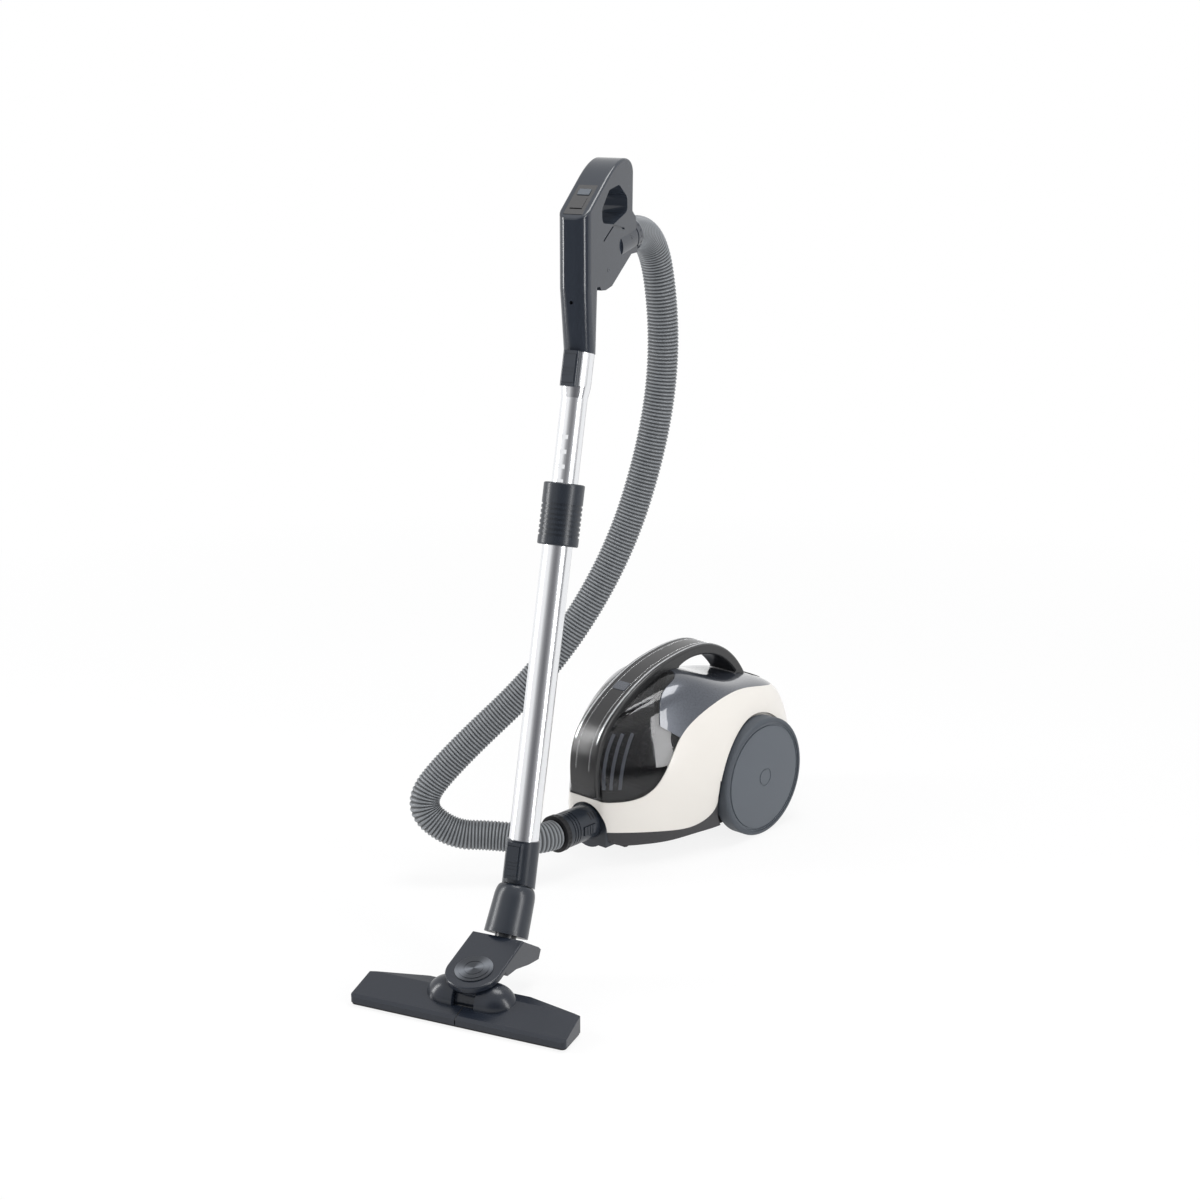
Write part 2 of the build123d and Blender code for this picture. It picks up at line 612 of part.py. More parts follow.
for x, word in zip(ROLLERS, ("left", "right")):
    with BuildPart() as roller:
        add(tube(Plane(origin=(x, ROLLER_Y, ROLLER_Z), x_dir=(0, 1, 0), z_dir=(1, 0, 0)), 6, 1.55, -4, 4))
    write(roller, f"head_roller_{word}", HEAD)

with BuildPart() as pivot_pin:
    add(rod(HINGE, 4, -40, 40))
write(pivot_pin, "pivot_pin", HEAD)

# Joint block: a round-fronted plate over the ears, a tongue between them, a rear lobe and a stem for the neck
LOBE = ((62, 49), (105, 67.4), (110, 67), (146, 45.5), (152, 40), (146, 30), (120, 34), (88, 42), (66, 43))
with BuildPart() as joint_block:
    with BuildSketch(PLATE.offset(-7)):
        Circle(34)
        with Locations((0, 31)):
            Rectangle(68, 62)
    extrude(amount=7)
    add(slab(LOBE, 34))
    add(block(PLATE, (-TONGUE_HALF, TONGUE_HALF), (-14, 58), (-34, -5)))
    add(block(PLATE, (-TONGUE_HALF, TONGUE_HALF), (-24, 0), (-20, -5)))
    add(rod(HINGE, 16, -TONGUE_HALF, TONGUE_HALF))
    add(rod(NECK, 13, -26, 6))
    rounds = joint_block.edges().filter_by(GeomType.CIRCLE).filter_by(lambda e: abs(e.radius - 34) < 0.1)
    fillet(rounds.sort_by(Axis.Z)[-1], radius=2)
    add(rod(NECK, 9.5, -24, 8), mode=Mode.SUBTRACT)
    add(block(PLATE, (-10, 10), (-14, 62), (-29, -12)), mode=Mode.SUBTRACT)
    add(block(HINGE, (-10, 10), (-20, -6), (-10, 10)), mode=Mode.SUBTRACT)
    add(rod(HINGE, 4.06, -40, 40), mode=Mode.SUBTRACT)
write(joint_block, "joint_block", HEAD)

with BuildPart() as joint_disc:
    add(rod(PLATE, 22.5, 0, 1.2))
    add(rod(PLATE, 18, 1.0, 1.8))
    add(tube(PLATE, 12, 11, 1.4, 3), mode=Mode.SUBTRACT)
write(joint_disc, "joint_disc", HEAD)

with BuildPart() as neck_sleeve:
    with BuildSketch(Plane(origin=NECK.origin, x_dir=(1, 0, 0), z_dir=-NECK.y_dir)):
        with BuildLine():
            Polyline((13, 0), (26.5, 0), (26.5, 4), (24.6, 44))
            Spline((24.6, 44), (23.2, 53), (17, 59.5), tangents=((-0.06, 1), (-1, 0.15)))
            Polyline((17, 59.5), (15, 59.5), (15, 42), (19, 38), (22, 7), (13, 6), (13, 0))
        make_face()
    revolve(axis=Axis(NECK.origin, NECK.z_dir))
write(neck_sleeve, "neck_sleeve", HEAD)

# Lower wand: socket with its latch, outer tube and telescope sleeve
NECK_TOP = 60.0


def latch_frame(z0, z1, outer):
    """A shallow box on the front of the wand that holds a press latch."""
    with BuildPart() as frame:
        add(block(WAND, (-10.5, 10.5), (-outer, -14), (z0, z1)))
        fillet(frame.edges().filter_by(Axis(WAND.origin, WAND.z_dir)).sort_by(Axis.Y)[:2], radius=3)
        add(block(WAND, (-8, 8), (-40, 4.8 - outer), (z0 + 4, z1 - 4)), mode=Mode.SUBTRACT)
    return frame.part


with BuildPart() as nozzle_socket:
    add(rod(WAND, 20, -70, 3))
    add(latch_frame(-42, 1, 25))
    add(block(NECK, (-60, 60), (-60, 60), (-40, NECK_TOP)), mode=Mode.SUBTRACT)
    add(rod(NECK, 14.92, 42, NECK_TOP + 6))
    add(rod(WAND, 18, -38, 10), mode=Mode.SUBTRACT)
    add(rod(WAND, 12.5, -58, 10), mode=Mode.SUBTRACT)
    add(rod(NECK, 12.5, 30, NECK_TOP + 6), mode=Mode.SUBTRACT)
write(nozzle_socket, "nozzle_socket", HEAD)

with BuildPart() as nozzle_latch:
    add(block(WAND, (-7.7, 7.7), (-26, -22.6), (-37.7, -3.3)))
    for z in (-30, -26, -22):
        add(block(WAND, (-9, 9), (-28, -25.4), (z - 0.6, z + 0.6)), mode=Mode.SUBTRACT)
write(nozzle_latch, "nozzle_latch", HEAD)

with BuildPart() as outer_tube:
    add(tube(WAND, OUTER_R, OUTER_BORE, -38, 398))
write(outer_tube, "outer_tube", HEAD)

with BuildPart() as telescope_bush:
    add(tube(WAND, OUTER_BORE, INNER_R + 0.06, 350, 398))
write(telescope_bush, "telescope_bush", HEAD)

with BuildPart() as slide_collar:
    add(tube(WAND, 24.5, OUTER_R + 0.08, 354, 404))
    add(tube(WAND, 24.5, INNER_R + 0.4, 404, 428))
    rims = slide_collar.edges().filter_by(GeomType.CIRCLE).filter_by(lambda e: abs(e.radius - 24.5) < 0.1)
    fillet([rims.sort_by(Axis.Z)[0], rims.sort_by(Axis.Z)[-1]], radius=2)
    for i in range(7):
        add(tube(WAND, 30, 23.4, 365 + 6 * i, 367.4 + 6 * i), mode=Mode.SUBTRACT)
write(slide_collar, "slide_collar", HEAD)

# Upper wand: inner tube with its row of notches, flared into the handle's socket
with BuildPart() as inner_tube:
    with BuildSketch(Plane(origin=WAND.origin, x_dir=(1, 0, 0), z_dir=-WAND.y_dir)):
        with BuildLine():
            Polyline(
                (INNER_BORE, 150), (INNER_R, 150), (INNER_R, 529), (OUTER_R, 543), (OUTER_R, 583),
                (16.6, 583), (16.6, 545), (INNER_BORE, 531), (INNER_BORE, 150),
            )
        make_face()
    revolve(axis=Axis(WAND.origin, WAND.z_dir))
    for i in range(18):
        z = 482 - NOTCH_PITCH * i
        add(block(WAND, (-5, 5), (-20, 0.7 - INNER_R), (z - 2.5, z + 2.5)), mode=Mode.SUBTRACT)
write(inner_tube, "inner_tube", HEAD)

with BuildPart() as handle_latch_frame:
    add(latch_frame(541, 583, 24.5))
    add(rod(WAND, OUTER_R, 530, 600), mode=Mode.SUBTRACT)
write(handle_latch_frame, "handle_latch_frame", HEAD)

with BuildPart() as handle_latch:
    add(block(WAND, (-7.7, 7.7), (-25.4, -22), (545.3, 578.7)))
    for z in (554, 558, 562):
        add(block(WAND, (-9, 9), (-28, -24.8), (z - 0.6, z + 0.6)), mode=Mode.SUBTRACT)
write(handle_latch, "handle_latch", HEAD)

# Handle: two halves round an air duct, with a spout for the hose and a key panel
HANDLE_HALF = 19.5
SPOUT_END = (456.0, 847.0)
SPOUT = Plane(origin=(0, *SPOUT_END), x_dir=(1, 0, 0), z_dir=(0, cos(radians(8)), sin(radians(8))))
PANEL = Plane(origin=(0, 338.5, 901), x_dir=(1, 0, 0), z_dir=(0, -0.569, 0.823))
DUCT_LOW = WAND.from_local_coords((0, 0, 583))
DUCT_HIGH = SPOUT.from_local_coords((0, 0, -122))


def duct(radius, low, high):
    """The bent air way through the handle: up the wand, across the crook and out of the spout."""
    start = WAND.from_local_coords((0, 0, low))
    finish = SPOUT.from_local_coords((0, 0, high))
    with BuildPart() as way:
        with BuildLine() as path:
            FilletPolyline(start, DUCT_LOW, DUCT_HIGH, finish, radius=30)
        with BuildSketch(WAND.offset(low)):
            Circle(radius)
        sweep(path=path.wire())
    return way.part


DUCT_OUTSIDE = duct(15.6, 545, 0)
with BuildPart() as handle_duct:
    add(DUCT_OUTSIDE)
    add(duct(13.4, 540, 5), mode=Mode.SUBTRACT)
    add(tube(SPOUT, 18.5, 15.0, -34, 0))
write(handle_duct, "handle_duct", HEAD)

# Side view of the handle, its finger hole, and the two grooves that run on from the hole's foot
FRONT, FOOT = 311.0, 800.0
HANDLE_FRONT = ((FRONT, FOOT), (FRONT, 882), (366, 920))
HANDLE_BACK = (
    (446, 924), (445, 878), (452.5, 872), (458.5, 829), (440, 829), (384, 797), (366, 794), (354, 795),
    (350, FOOT), (FRONT, FOOT),
)
GRIP_HOLE = ((356, 873), (356, 890), (376, 910), (404, 914), (427, 898), (428, 881), (388, 869))
GROOVES = (((403, 864.5), 34, -12), ((374, 859.5), 32, 29))
HANDLE_SCREWS = ((372, 799.8), (436.5, 896))
with BuildPart() as handle:
    with BuildSketch(Plane.YZ):
        with BuildLine():
            Polyline(*HANDLE_FRONT)
            Spline((366, 920), (404, 940.5), (428, 943), (446, 924), tangents=((0.823, 0.569), (0, -1)))
            Polyline(*HANDLE_BACK)
        make_face()
    extrude(amount=HANDLE_HALF, both=True)
    upright = handle.edges().filter_by(Axis.Z).filter_by(lambda e: e.center().Y < FRONT + 1)
    fillet(upright, radius=15)
    with BuildSketch(WAND.offset(583)):
        RectangleRounded(37.6, 37.6, 18.7)
    with BuildSketch(Plane.XY.offset(FOOT)):
        with Locations((0, FRONT + 21.5)):
            RectangleRounded(2 * HANDLE_HALF, 43, 15)
    loft()
    crown = handle.edges().filter_by(GeomType.BSPLINE)
    fillet(crown.filter_by(lambda e: abs(e.center().X) > HANDLE_HALF - 0.1), radius=3)
    add(rod(SPOUT, 22, -46, 0))
    with BuildSketch(Plane.YZ) as grip:
        with BuildLine():
            Polyline(*GRIP_HOLE, close=True)
        make_face()
        fillet(grip.vertices(), radius=8)
    extrude(amount=40, both=True, mode=Mode.SUBTRACT)
    for side in (-1, 1):
        with BuildSketch(Plane.YZ.offset(side * (HANDLE_HALF - 1.6))):
            for centre, length, slant in GROOVES:
                with Locations(centre):
                    SlotOverall(length, 2.2, rotation=slant)
        extrude(amount=side * 5, mode=Mode.SUBTRACT)
    with BuildPart(mode=Mode.PRIVATE) as room:
        with BuildSketch(Plane.YZ):
            with BuildLine():
                Polyline((322, 750), (317, 790), (317, 878), (351, 901), (351, 846), (418, 852))
                Polyline((418, 852), (422, 829), (384, 806), (360, 805), (347, 780), (346, 745), (322, 750))
            make_face()
        extrude(amount=12.5, both=True)
    add(room.part, mode=Mode.SUBTRACT)
    add(DUCT_OUTSIDE, mode=Mode.SUBTRACT)
    add(rod(SPOUT, 18.5, -34, 5), mode=Mode.SUBTRACT)
    add(rod(WAND, OUTER_R, 540, 583), mode=Mode.SUBTRACT)
    add(latch_frame(541, 583, 24.5), mode=Mode.SUBTRACT)
    add(block(PANEL, (-12, 12), (-26, 26), (-5, 20)), mode=Mode.SUBTRACT)
    add(rod(Plane.XZ, 2.2, -320, -300, at=(0, 785)), mode=Mode.SUBTRACT)
    for spot in HANDLE_SCREWS:
        add(rod(Plane.YZ, 1.6, -17, 12, at=spot), mode=Mode.SUBTRACT)
        add(rod(Plane.YZ, 3.4, -30, -16, at=spot), mode=Mode.SUBTRACT)

for side, word in ((-1, "left"), (1, "right")):
    with BuildPart() as half_handle:
        add(handle.part)
        add(block(Plane.XY, sorted((0, side * 60)), (250, 520), (680, 980)), mode=Mode.INTERSECT)
    write(half_handle, f"handle_{word}", HEAD)

with BuildPart() as handle_screws:
    for spot in HANDLE_SCREWS:
        add(rod(Plane.YZ, 1.6, -17, 10, at=spot))
        add(rod(Plane.YZ, 3.4, -18.4, -16, at=spot))
write(handle_screws, "handle_screws", HEAD)

KEYS = (("power_key", 8, 18), ("speed_key", -16, 2))
with BuildPart() as control_panel:
    add(block(PANEL, (-12, 12), (-26, 26), (-5, 0.5)))
    for name, y0, y1 in KEYS:
        add(block(PANEL, (-8, 8), (y0 - 0.4, y1 + 0.4), (-3.6, 5)), mode=Mode.SUBTRACT)
write(control_panel, "control_panel", HEAD)

for name, y0, y1 in KEYS:
    with BuildPart() as key:
        add(block(PANEL, (-7.6, 7.6), (y0, y1), (-2, 1.4)))
    write(key, name, HEAD)

with BuildPart() as hose_end_collar:
    add(tube(SPOUT, 22.6, 15.8, 0.3, 12))
    with BuildSketch(SPOUT.offset(3)):
        with PolarLocations(23, 20):
            Rectangle(1.6, 2)
    extrude(amount=6, mode=Mode.SUBTRACT)
write(hose_end_collar, "hose_end_collar", HEAD)

# Hose: ribs lofted square to a route of straight runs and arcs, from the cuff's ring to the handle's collar
HOSE_START = Vector(0, -304.3, INLET_Z)
HOSE_END = CANISTER.to_local_coords(HEAD.from_local_coords(SPOUT.from_local_coords((0, 0, 12.3))))
HOSE_TURN = CANISTER.to_local_coords(HEAD.from_local_coords(SPOUT.from_local_coords((0, 0, 88))))
HOSE_POINTS = (
    HOSE_START, Vector(0, -336, INLET_Z), Vector(-48, -368, 64), Vector(-90, -408, 66),
    Vector(-128, -433, 105), Vector(-103, -395, 162), Vector(-21, -294, 281), Vector(29, -213, 423),
    Vector(54, -169, 576), Vector(61, -155, 714), HOSE_TURN, HOSE_END,
)
HOSE_X = Vector(0.85, -0.53, 0)


def bend_radii(points):
    """Radii that use the same share of the shorter run at each corner of a route."""
    radii = []
    for before, corner, after in zip(points, points[1:], points[2:]):
        half_turn = acos((corner - before).normalized().dot((after - corner).normalized())) / 2
        radii.append(0.45 * min((corner - before).length, (after - corner).length) / tan(half_turn))
    return radii


with BuildLine() as route:
    FilletPolyline(*HOSE_POINTS, radius=bend_radii(HOSE_POINTS))
HOSE_PATH = route.wire()


def square_to_path(at):
    """The plane across the hose at a share of its length, with a steady X axis."""
    along = HOSE_PATH % at
    return Plane(origin=HOSE_PATH @ at, x_dir=HOSE_X - along * along.dot(HOSE_X), z_dir=along)


def rib_run(first, last):
    """The solid hose from one rib to another, as a ruled loft through four circles a rib."""
    with BuildPart() as run:
        for i in range(first, last):
            for share, radius in ((0.0, HOSE_ROOT_R), (0.28, HOSE_ROOT_R), (0.42, HOSE_R), (0.86, HOSE_R)):
                with BuildSketch(square_to_path((i + share) / HOSE_RIBS)):
                    Circle(radius)
        with BuildSketch(square_to_path(last / HOSE_RIBS)):
            Circle(HOSE_ROOT_R)
        loft(ruled=True)
    return run.part


with BuildPart() as hose:
    add([rib_run(first, first + 10) for first in range(0, HOSE_RIBS, 10)])
    with BuildSketch(square_to_path(0)):
        Circle(HOSE_BORE_R)
    sweep(path=HOSE_PATH, mode=Mode.SUBTRACT)
print("hose length", round(HOSE_PATH.length), "bends", [round(r) for r in bend_radii(HOSE_POINTS)])
plain = HOSE_PATH.length * pi * (19.3**2 - HOSE_BORE_R**2)
print("hose volume", round(hose.part.volume), "as a plain tube", round(plain))
write(hose, "hose", CANISTER)
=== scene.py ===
"""Looks of a canister vacuum cleaner: finishes for its solids, its ribbed hose and its studio.

Everything is in metres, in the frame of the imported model: +Z up, the floor at z = 0.
"""

import logging
import math
from dataclasses import dataclass
from enum import Enum
from typing import Any, Sequence

import bpy
import numpy as np
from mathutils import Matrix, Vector
from mathutils.bvhtree import BVHTree


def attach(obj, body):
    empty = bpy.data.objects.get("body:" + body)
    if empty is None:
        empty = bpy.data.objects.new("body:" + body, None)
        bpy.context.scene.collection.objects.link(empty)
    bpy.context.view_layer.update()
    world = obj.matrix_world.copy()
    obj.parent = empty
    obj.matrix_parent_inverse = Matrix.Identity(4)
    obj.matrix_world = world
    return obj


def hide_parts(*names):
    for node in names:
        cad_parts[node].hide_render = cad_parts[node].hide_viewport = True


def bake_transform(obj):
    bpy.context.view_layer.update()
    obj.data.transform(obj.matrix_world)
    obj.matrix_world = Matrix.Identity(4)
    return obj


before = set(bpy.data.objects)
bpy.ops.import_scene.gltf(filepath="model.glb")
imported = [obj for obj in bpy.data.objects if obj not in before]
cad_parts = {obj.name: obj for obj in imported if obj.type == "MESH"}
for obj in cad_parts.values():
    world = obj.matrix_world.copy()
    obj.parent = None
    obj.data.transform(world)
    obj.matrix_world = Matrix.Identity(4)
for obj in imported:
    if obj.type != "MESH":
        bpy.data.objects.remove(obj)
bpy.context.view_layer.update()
LOG = logging.getLogger("vacuum")

Colour = tuple[float, float, float]
Place = tuple[float, float, float]
Pair = tuple[float, float]
WHITE: Colour = (1.0, 1.0, 1.0)

CANISTER_AT = np.array((-0.1143, 0.3020, 0.0))
HEAD_AT = CANISTER_AT + np.array((0.2140, -0.7005, 0.0))
HEAD_TURN = math.radians(16.9)
HEAD_X = np.array((math.cos(HEAD_TURN), math.sin(HEAD_TURN), 0.0))
HEAD_Y = np.array((-math.sin(HEAD_TURN), math.cos(HEAD_TURN), 0.0))
UP = np.array((0.0, 0.0, 1.0))


def on_head(x: float, y: float, z: float) -> np.ndarray:
    """A point of the floor head's own frame, in the row's frame.

    Args:
        x: along the head's long side, in metres.
        y: backwards from the head's front edge, in metres.
        z: height over the floor, in metres.

    Returns:
        The point as an array of three.
    """
    return HEAD_AT + x * HEAD_X + y * HEAD_Y + z * UP


class Signal:
    """A shader value that takes part in Python arithmetic; each operation adds one Math node."""

    def __init__(self, surface: "Surface", socket: bpy.types.NodeSocket) -> None:
        """Wrap an output socket of a surface's tree."""
        self.surface = surface
        self.socket = socket

    def _math(self, operation: str, first: Any, second: Any = None) -> "Signal":
        """Add a Math node.

        Args:
            operation: the node's operation, such as "ADD".
            first: the first operand, a Signal or a number.
            second: the second operand, if the operation has one.

        Returns:
            The node's result.
        """
        inputs = {0: first} if second is None else {0: first, 1: second}
        return self.surface.add("ShaderNodeMath", {"operation": operation}, inputs)

    def __add__(self, other: Any) -> "Signal":
        """Sum."""
        return self._math("ADD", self, other)

    __radd__ = __add__

    def __sub__(self, other: Any) -> "Signal":
        """Difference."""
        return self._math("SUBTRACT", self, other)

    def __rsub__(self, other: Any) -> "Signal":
        """Difference from a number."""
        return self._math("SUBTRACT", other, self)

    def __mul__(self, other: Any) -> "Signal":
        """Product."""
        return self._math("MULTIPLY", self, other)

    __rmul__ = __mul__

    def __truediv__(self, other: Any) -> "Signal":
        """Quotient."""
        return self._math("DIVIDE", self, other)

    def __pow__(self, other: Any) -> "Signal":
        """Power."""
        return self._math("POWER", self, other)

    def turn_with(self, other: "Signal") -> "Signal":
        """Angle of the point that has this value across and the other along."""
        return self._math("ARCTAN2", other, self)

    def wave(self) -> "Signal":
        """Sine of the value."""
        return self._math("SINE", self)

    def held(self) -> "Signal":
        """The value kept between zero and one."""
        return self.surface.add("ShaderNodeClamp", {}, {"Value": self})


class Surface:
    """One node tree, of a material or of the world, and the nodes that a finish adds to it."""

    def __init__(self, tree: bpy.types.NodeTree) -> None:
        """Start on an empty tree."""
        self.tree = tree
        self.tree.nodes.clear()

    def add(self, kind: str, settings: dict[str, Any], inputs: dict[Any, Any], output: Any = 0) -> Signal:
        """Add a node of any type.

        Args:
            kind: the node's Blender type.
            settings: values of the node's own properties, set first; "stops" fills a colour ramp.
            inputs: socket names or numbers with the values or Signals that they take.
            output: name or number of the output to hand back.

        Returns:
            The chosen output.
        """
        node = self.tree.nodes.new(kind)
        for key, value in settings.items():
            if key == "stops":
                self._fill_ramp(node.color_ramp, value)
            else:
                setattr(node, key, value)
        for key, value in inputs.items():
            socket = node.inputs[key]
            if isinstance(value, Signal):
                self.tree.links.new(value.socket, socket)
            elif socket.type == "RGBA" and len(value) == 3:
                socket.default_value = (*value, 1.0)
            else:
                socket.default_value = value
        return Signal(self, node.outputs[output]) if len(node.outputs) else Signal(self, None)

    @staticmethod
    def _fill_ramp(ramp: bpy.types.ColorRamp, stops: Sequence[tuple[float, Colour]]) -> None:
        """Set a ramp's stops, as pairs of place and colour."""
        while len(ramp.elements) < len(stops):
            ramp.elements.new(1.0)
        for element, (place, colour) in zip(ramp.elements, stops):
            element.position = place
            element.color = (*colour, 1.0)

    def place(self) -> Signal:
        """The point on the object, in metres."""
        return self.add("ShaderNodeTexCoord", {}, {}, "Object")

    def kept(self, name: str) -> Signal:
        """The value that the mesh keeps at each point under a name."""
        return self.add("ShaderNodeAttribute", {"attribute_name": name}, {}, "Fac")

    def noise(self, scale: float, detail: float = 2.0, where: Signal | None = None) -> Signal:
        """Cloudy noise about 0.5.

        Args:
            scale: clouds to the metre.
            detail: number of finer layers.
            where: the point it is read at, or the object's own.

        Returns:
            The noise value.
        """
        inputs = {"Vector": where or self.place(), "Scale": scale, "Detail": detail}
        return self.add("ShaderNodeTexNoise", {}, inputs, 0)

    def rays(self) -> tuple[Signal, Signal, Signal]:
        """One where a camera ray, a glossy ray or a transmission ray arrives, and zero elsewhere."""
        kinds = ("Is Camera Ray", "Is Glossy Ray", "Is Transmission Ray")
        return tuple(self.add("ShaderNodeLightPath", {}, {}, kind) for kind in kinds)

    def mixed(self, share: Any, low: Any, high: Any) -> Signal:
        """A colour between two.

        Args:
            share: zero for the first colour, one for the second.
            low: the first colour.
            high: the second colour.

        Returns:
            The mixed colour.
        """
        inputs = {"Factor": share, 6: low, 7: high}
        return self.add("ShaderNodeMix", {"data_type": "RGBA"}, inputs, 2)

    def bump(self, height: Signal, distance: float, strength: float = 1.0) -> Signal:
        """A normal tilted by a height.

        Args:
            height: the height, from zero to one.
            distance: what a height of one stands for, in metres.
            strength: share of the tilt that is used.

        Returns:
            The normal.
        """
        return self.add("ShaderNodeBump", {}, {"Height": height, "Distance": distance, "Strength": strength})

    def principled(self, inputs: dict[str, Any]) -> None:
        """End the tree with a Principled shader that takes these inputs."""
        shader = self.add("ShaderNodeBsdfPrincipled", {}, inputs)
        self.add("ShaderNodeOutputMaterial", {}, {"Surface": shader})


def new_surface(name: str) -> tuple[bpy.types.Material, Surface]:
    """Make an empty material.

    Args:
        name: the material's name.

    Returns:
        The material and its node tree's builder.
    """
    material = bpy.data.materials.new(name)
    material.use_nodes = True
    return material, Surface(material.node_tree)


def shade(colour: Colour, factor: float) -> Colour:
    """A colour made darker or lighter by a factor."""
    return tuple(min(1.0, channel * factor) for channel in colour)


@dataclass(frozen=True)
class Moulded:
    """Moulded plastic or rubber: a fine grain, slow drifts of tone and uneven polish."""

    name: str
    colour: Colour
    roughness: float = 0.45
    grain: float = 0.0007
    depth: float = 0.00003
    drift: float = 0.06
    metallic: float = 0.0
    coat: float = 0.0
    shine: float = 0.5

    def material(self) -> bpy.types.Material:
        """Build the finish as a material."""
        material, surface = new_surface(self.name)
        cloud = surface.noise(14.0, 4.0)
        grain = surface.noise(1.0 / self.grain, 2.0)
        tone = (cloud * 0.8 + grain * 0.2).held()
        base = surface.mixed(tone, shade(self.colour, 1.0 - self.drift), shade(self.colour, 1.0 + self.drift))
        rough = (self.roughness + (cloud - 0.5) * 0.10 + (grain - 0.5) * 0.08).held()
        surface.principled({
            "Base Color": base,
            "Roughness": rough,
            "Metallic": self.metallic,
            "Specular IOR Level": self.shine,
            "Coat Weight": self.coat,
            "Coat Roughness": 0.06,
            "Normal": surface.bump(grain, self.depth),
        })
        return material


@dataclass(frozen=True)
class FlakeGloss:
    """Metallic-look gloss plastic: tiny flakes under a clear coat."""

    name: str
    colour: Colour
    roughness: float = 0.30
    flake: float = 0.00045

    def material(self) -> bpy.types.Material:
        """Build the finish as a material."""
        material, surface = new_surface(self.name)
        cells = {"Vector": surface.place(), "Scale": 1.0 / self.flake}
        spots = surface.add("ShaderNodeTexVoronoi", {}, cells, "Color")
        glint = surface.add("ShaderNodeSeparateColor", {}, {"Color": spots}, 0)
        cloud = surface.noise(9.0, 3.0)
        tone = (glint * 0.5 + cloud * 0.5).held()
        surface.principled({
            "Base Color": surface.mixed(tone, shade(self.colour, 0.86), shade(self.colour, 1.16)),
            "Metallic": 0.35,
            "Roughness": (self.roughness + (glint - 0.5) * 0.12).held(),
            "Coat Weight": 1.0,
            "Coat Roughness": 0.02,
        })
        return material


@dataclass(frozen=True)
class Ribbed:
    """Ribbed hose plastic: painted light on the ridges and painted shade in the grooves, with random tone,
    told apart by the mesh's ridge value.
    """

    name: str
    groove_shade: Colour
    ridge: Colour
    roughness: float = 0.36

    def material(self) -> bpy.types.Material:
        """Build the finish as a material."""
        material, surface = new_surface(self.name)
        height = surface.kept("ridge")
        cloud = surface.noise(40.0, 3.0)
        # Painted light and shade: the ridges take the pale colour and the grooves the dark one, with cloudy
        # random tone on the ridges.
        ridge_light_and_tone = (height ** 1.4 + (cloud - 0.5) * 0.25 * height).held()
        surface.principled({
            "Base Color": surface.mixed(ridge_light_and_tone, self.groove_shade, self.ridge),
            "Roughness": (self.roughness + 0.2 - height * 0.2 + (cloud - 0.5) * 0.1).held(),
            "Specular IOR Level": 0.45,
            "Normal": surface.bump(surface.noise(900.0, 2.0), 0.00002),
        })
        return material


@dataclass(frozen=True)
class Beaded:
    """Bright trim strip pressed into a row of short dashes along its length, with painted shade in the gaps
    between the dashes.
    """

    name: str
    colour: Colour
    pitch: float = 0.0026

    def material(self) -> bpy.types.Material:
        """Build the finish as a material."""
        material, surface = new_surface(self.name)
        back = surface.add("ShaderNodeSeparateXYZ", {}, {0: surface.place()}, "Y")
        rise = surface.add("ShaderNodeSeparateXYZ", {}, {0: surface.place()}, "Z")
        # The gaps between the dashes are darkened to about a sixth: painted shade. The dashes keep the
        # strip's own colour.
        dash_and_gap_shade = (((back + rise * 0.6) * (2.0 * math.pi / self.pitch)).wave() * 2.0 + 0.9).held()
        surface.principled({
            "Base Color": surface.mixed(dash_and_gap_shade, shade(self.colour, 0.16), self.colour),
            "Metallic": 0.85,
            "Roughness": (0.42 - dash_and_gap_shade * 0.2 + (surface.noise(700.0) - 0.5) * 0.1).held(),
            "Normal": surface.bump(dash_and_gap_shade, 0.00012),
        })
        return material


@dataclass(frozen=True)
class Smoked:
    """Clear smoked plastic, with faint flow marks in its polish."""

    name: str
    colour: Colour
    clear: float = 0.985

    def material(self) -> bpy.types.Material:
        """Build the finish as a material."""
        material, surface = new_surface(self.name)
        flow = surface.noise(30.0, 3.0)
        surface.principled({
            "Base Color": surface.mixed(flow, shade(self.colour, 0.92), shade(self.colour, 1.08)),
            "Roughness": (0.015 + flow * 0.03).held(),
            "Transmission Weight": self.clear,
            "IOR": 1.42,
            "Specular IOR Level": 0.5,
        })
        return material


@dataclass(frozen=True)
class DrawnMetal:
    """Drawn or brushed metal: streaks that run along one direction."""

    name: str
    colour: Colour
    roughness: float = 0.2
    along: Place = (0.0, 0.0, 1.0)

    def material(self) -> bpy.types.Material:
        """Build the finish as a material."""
        material, surface = new_surface(self.name)
        tilt = math.acos(max(-1.0, min(1.0, self.along[2])))
        heading = math.atan2(self.along[1], self.along[0])
        turn = {"Vector": surface.place(), "Rotation": (0.0, tilt, heading)}
        turned = surface.add("ShaderNodeVectorRotate", {"rotation_type": "EULER_XYZ", "invert": True}, turn)
        stretch = {0: turned, 1: (1.0, 1.0, 0.01)}
        drawn = surface.add("ShaderNodeVectorMath", {"operation": "MULTIPLY"}, stretch)
        streak = surface.noise(1600.0, 3.0, drawn)
        cloud = surface.noise(25.0, 2.0)
        surface.principled({
            "Base Color": surface.mixed(streak, shade(self.colour, 0.9), shade(self.colour, 1.06)),
            "Metallic": 1.0,
            "Roughness": (self.roughness + (streak - 0.5) * 0.12 + (cloud - 0.5) * 0.06).held(),
            "Normal": surface.bump(streak, 0.000004),
        })
        return material


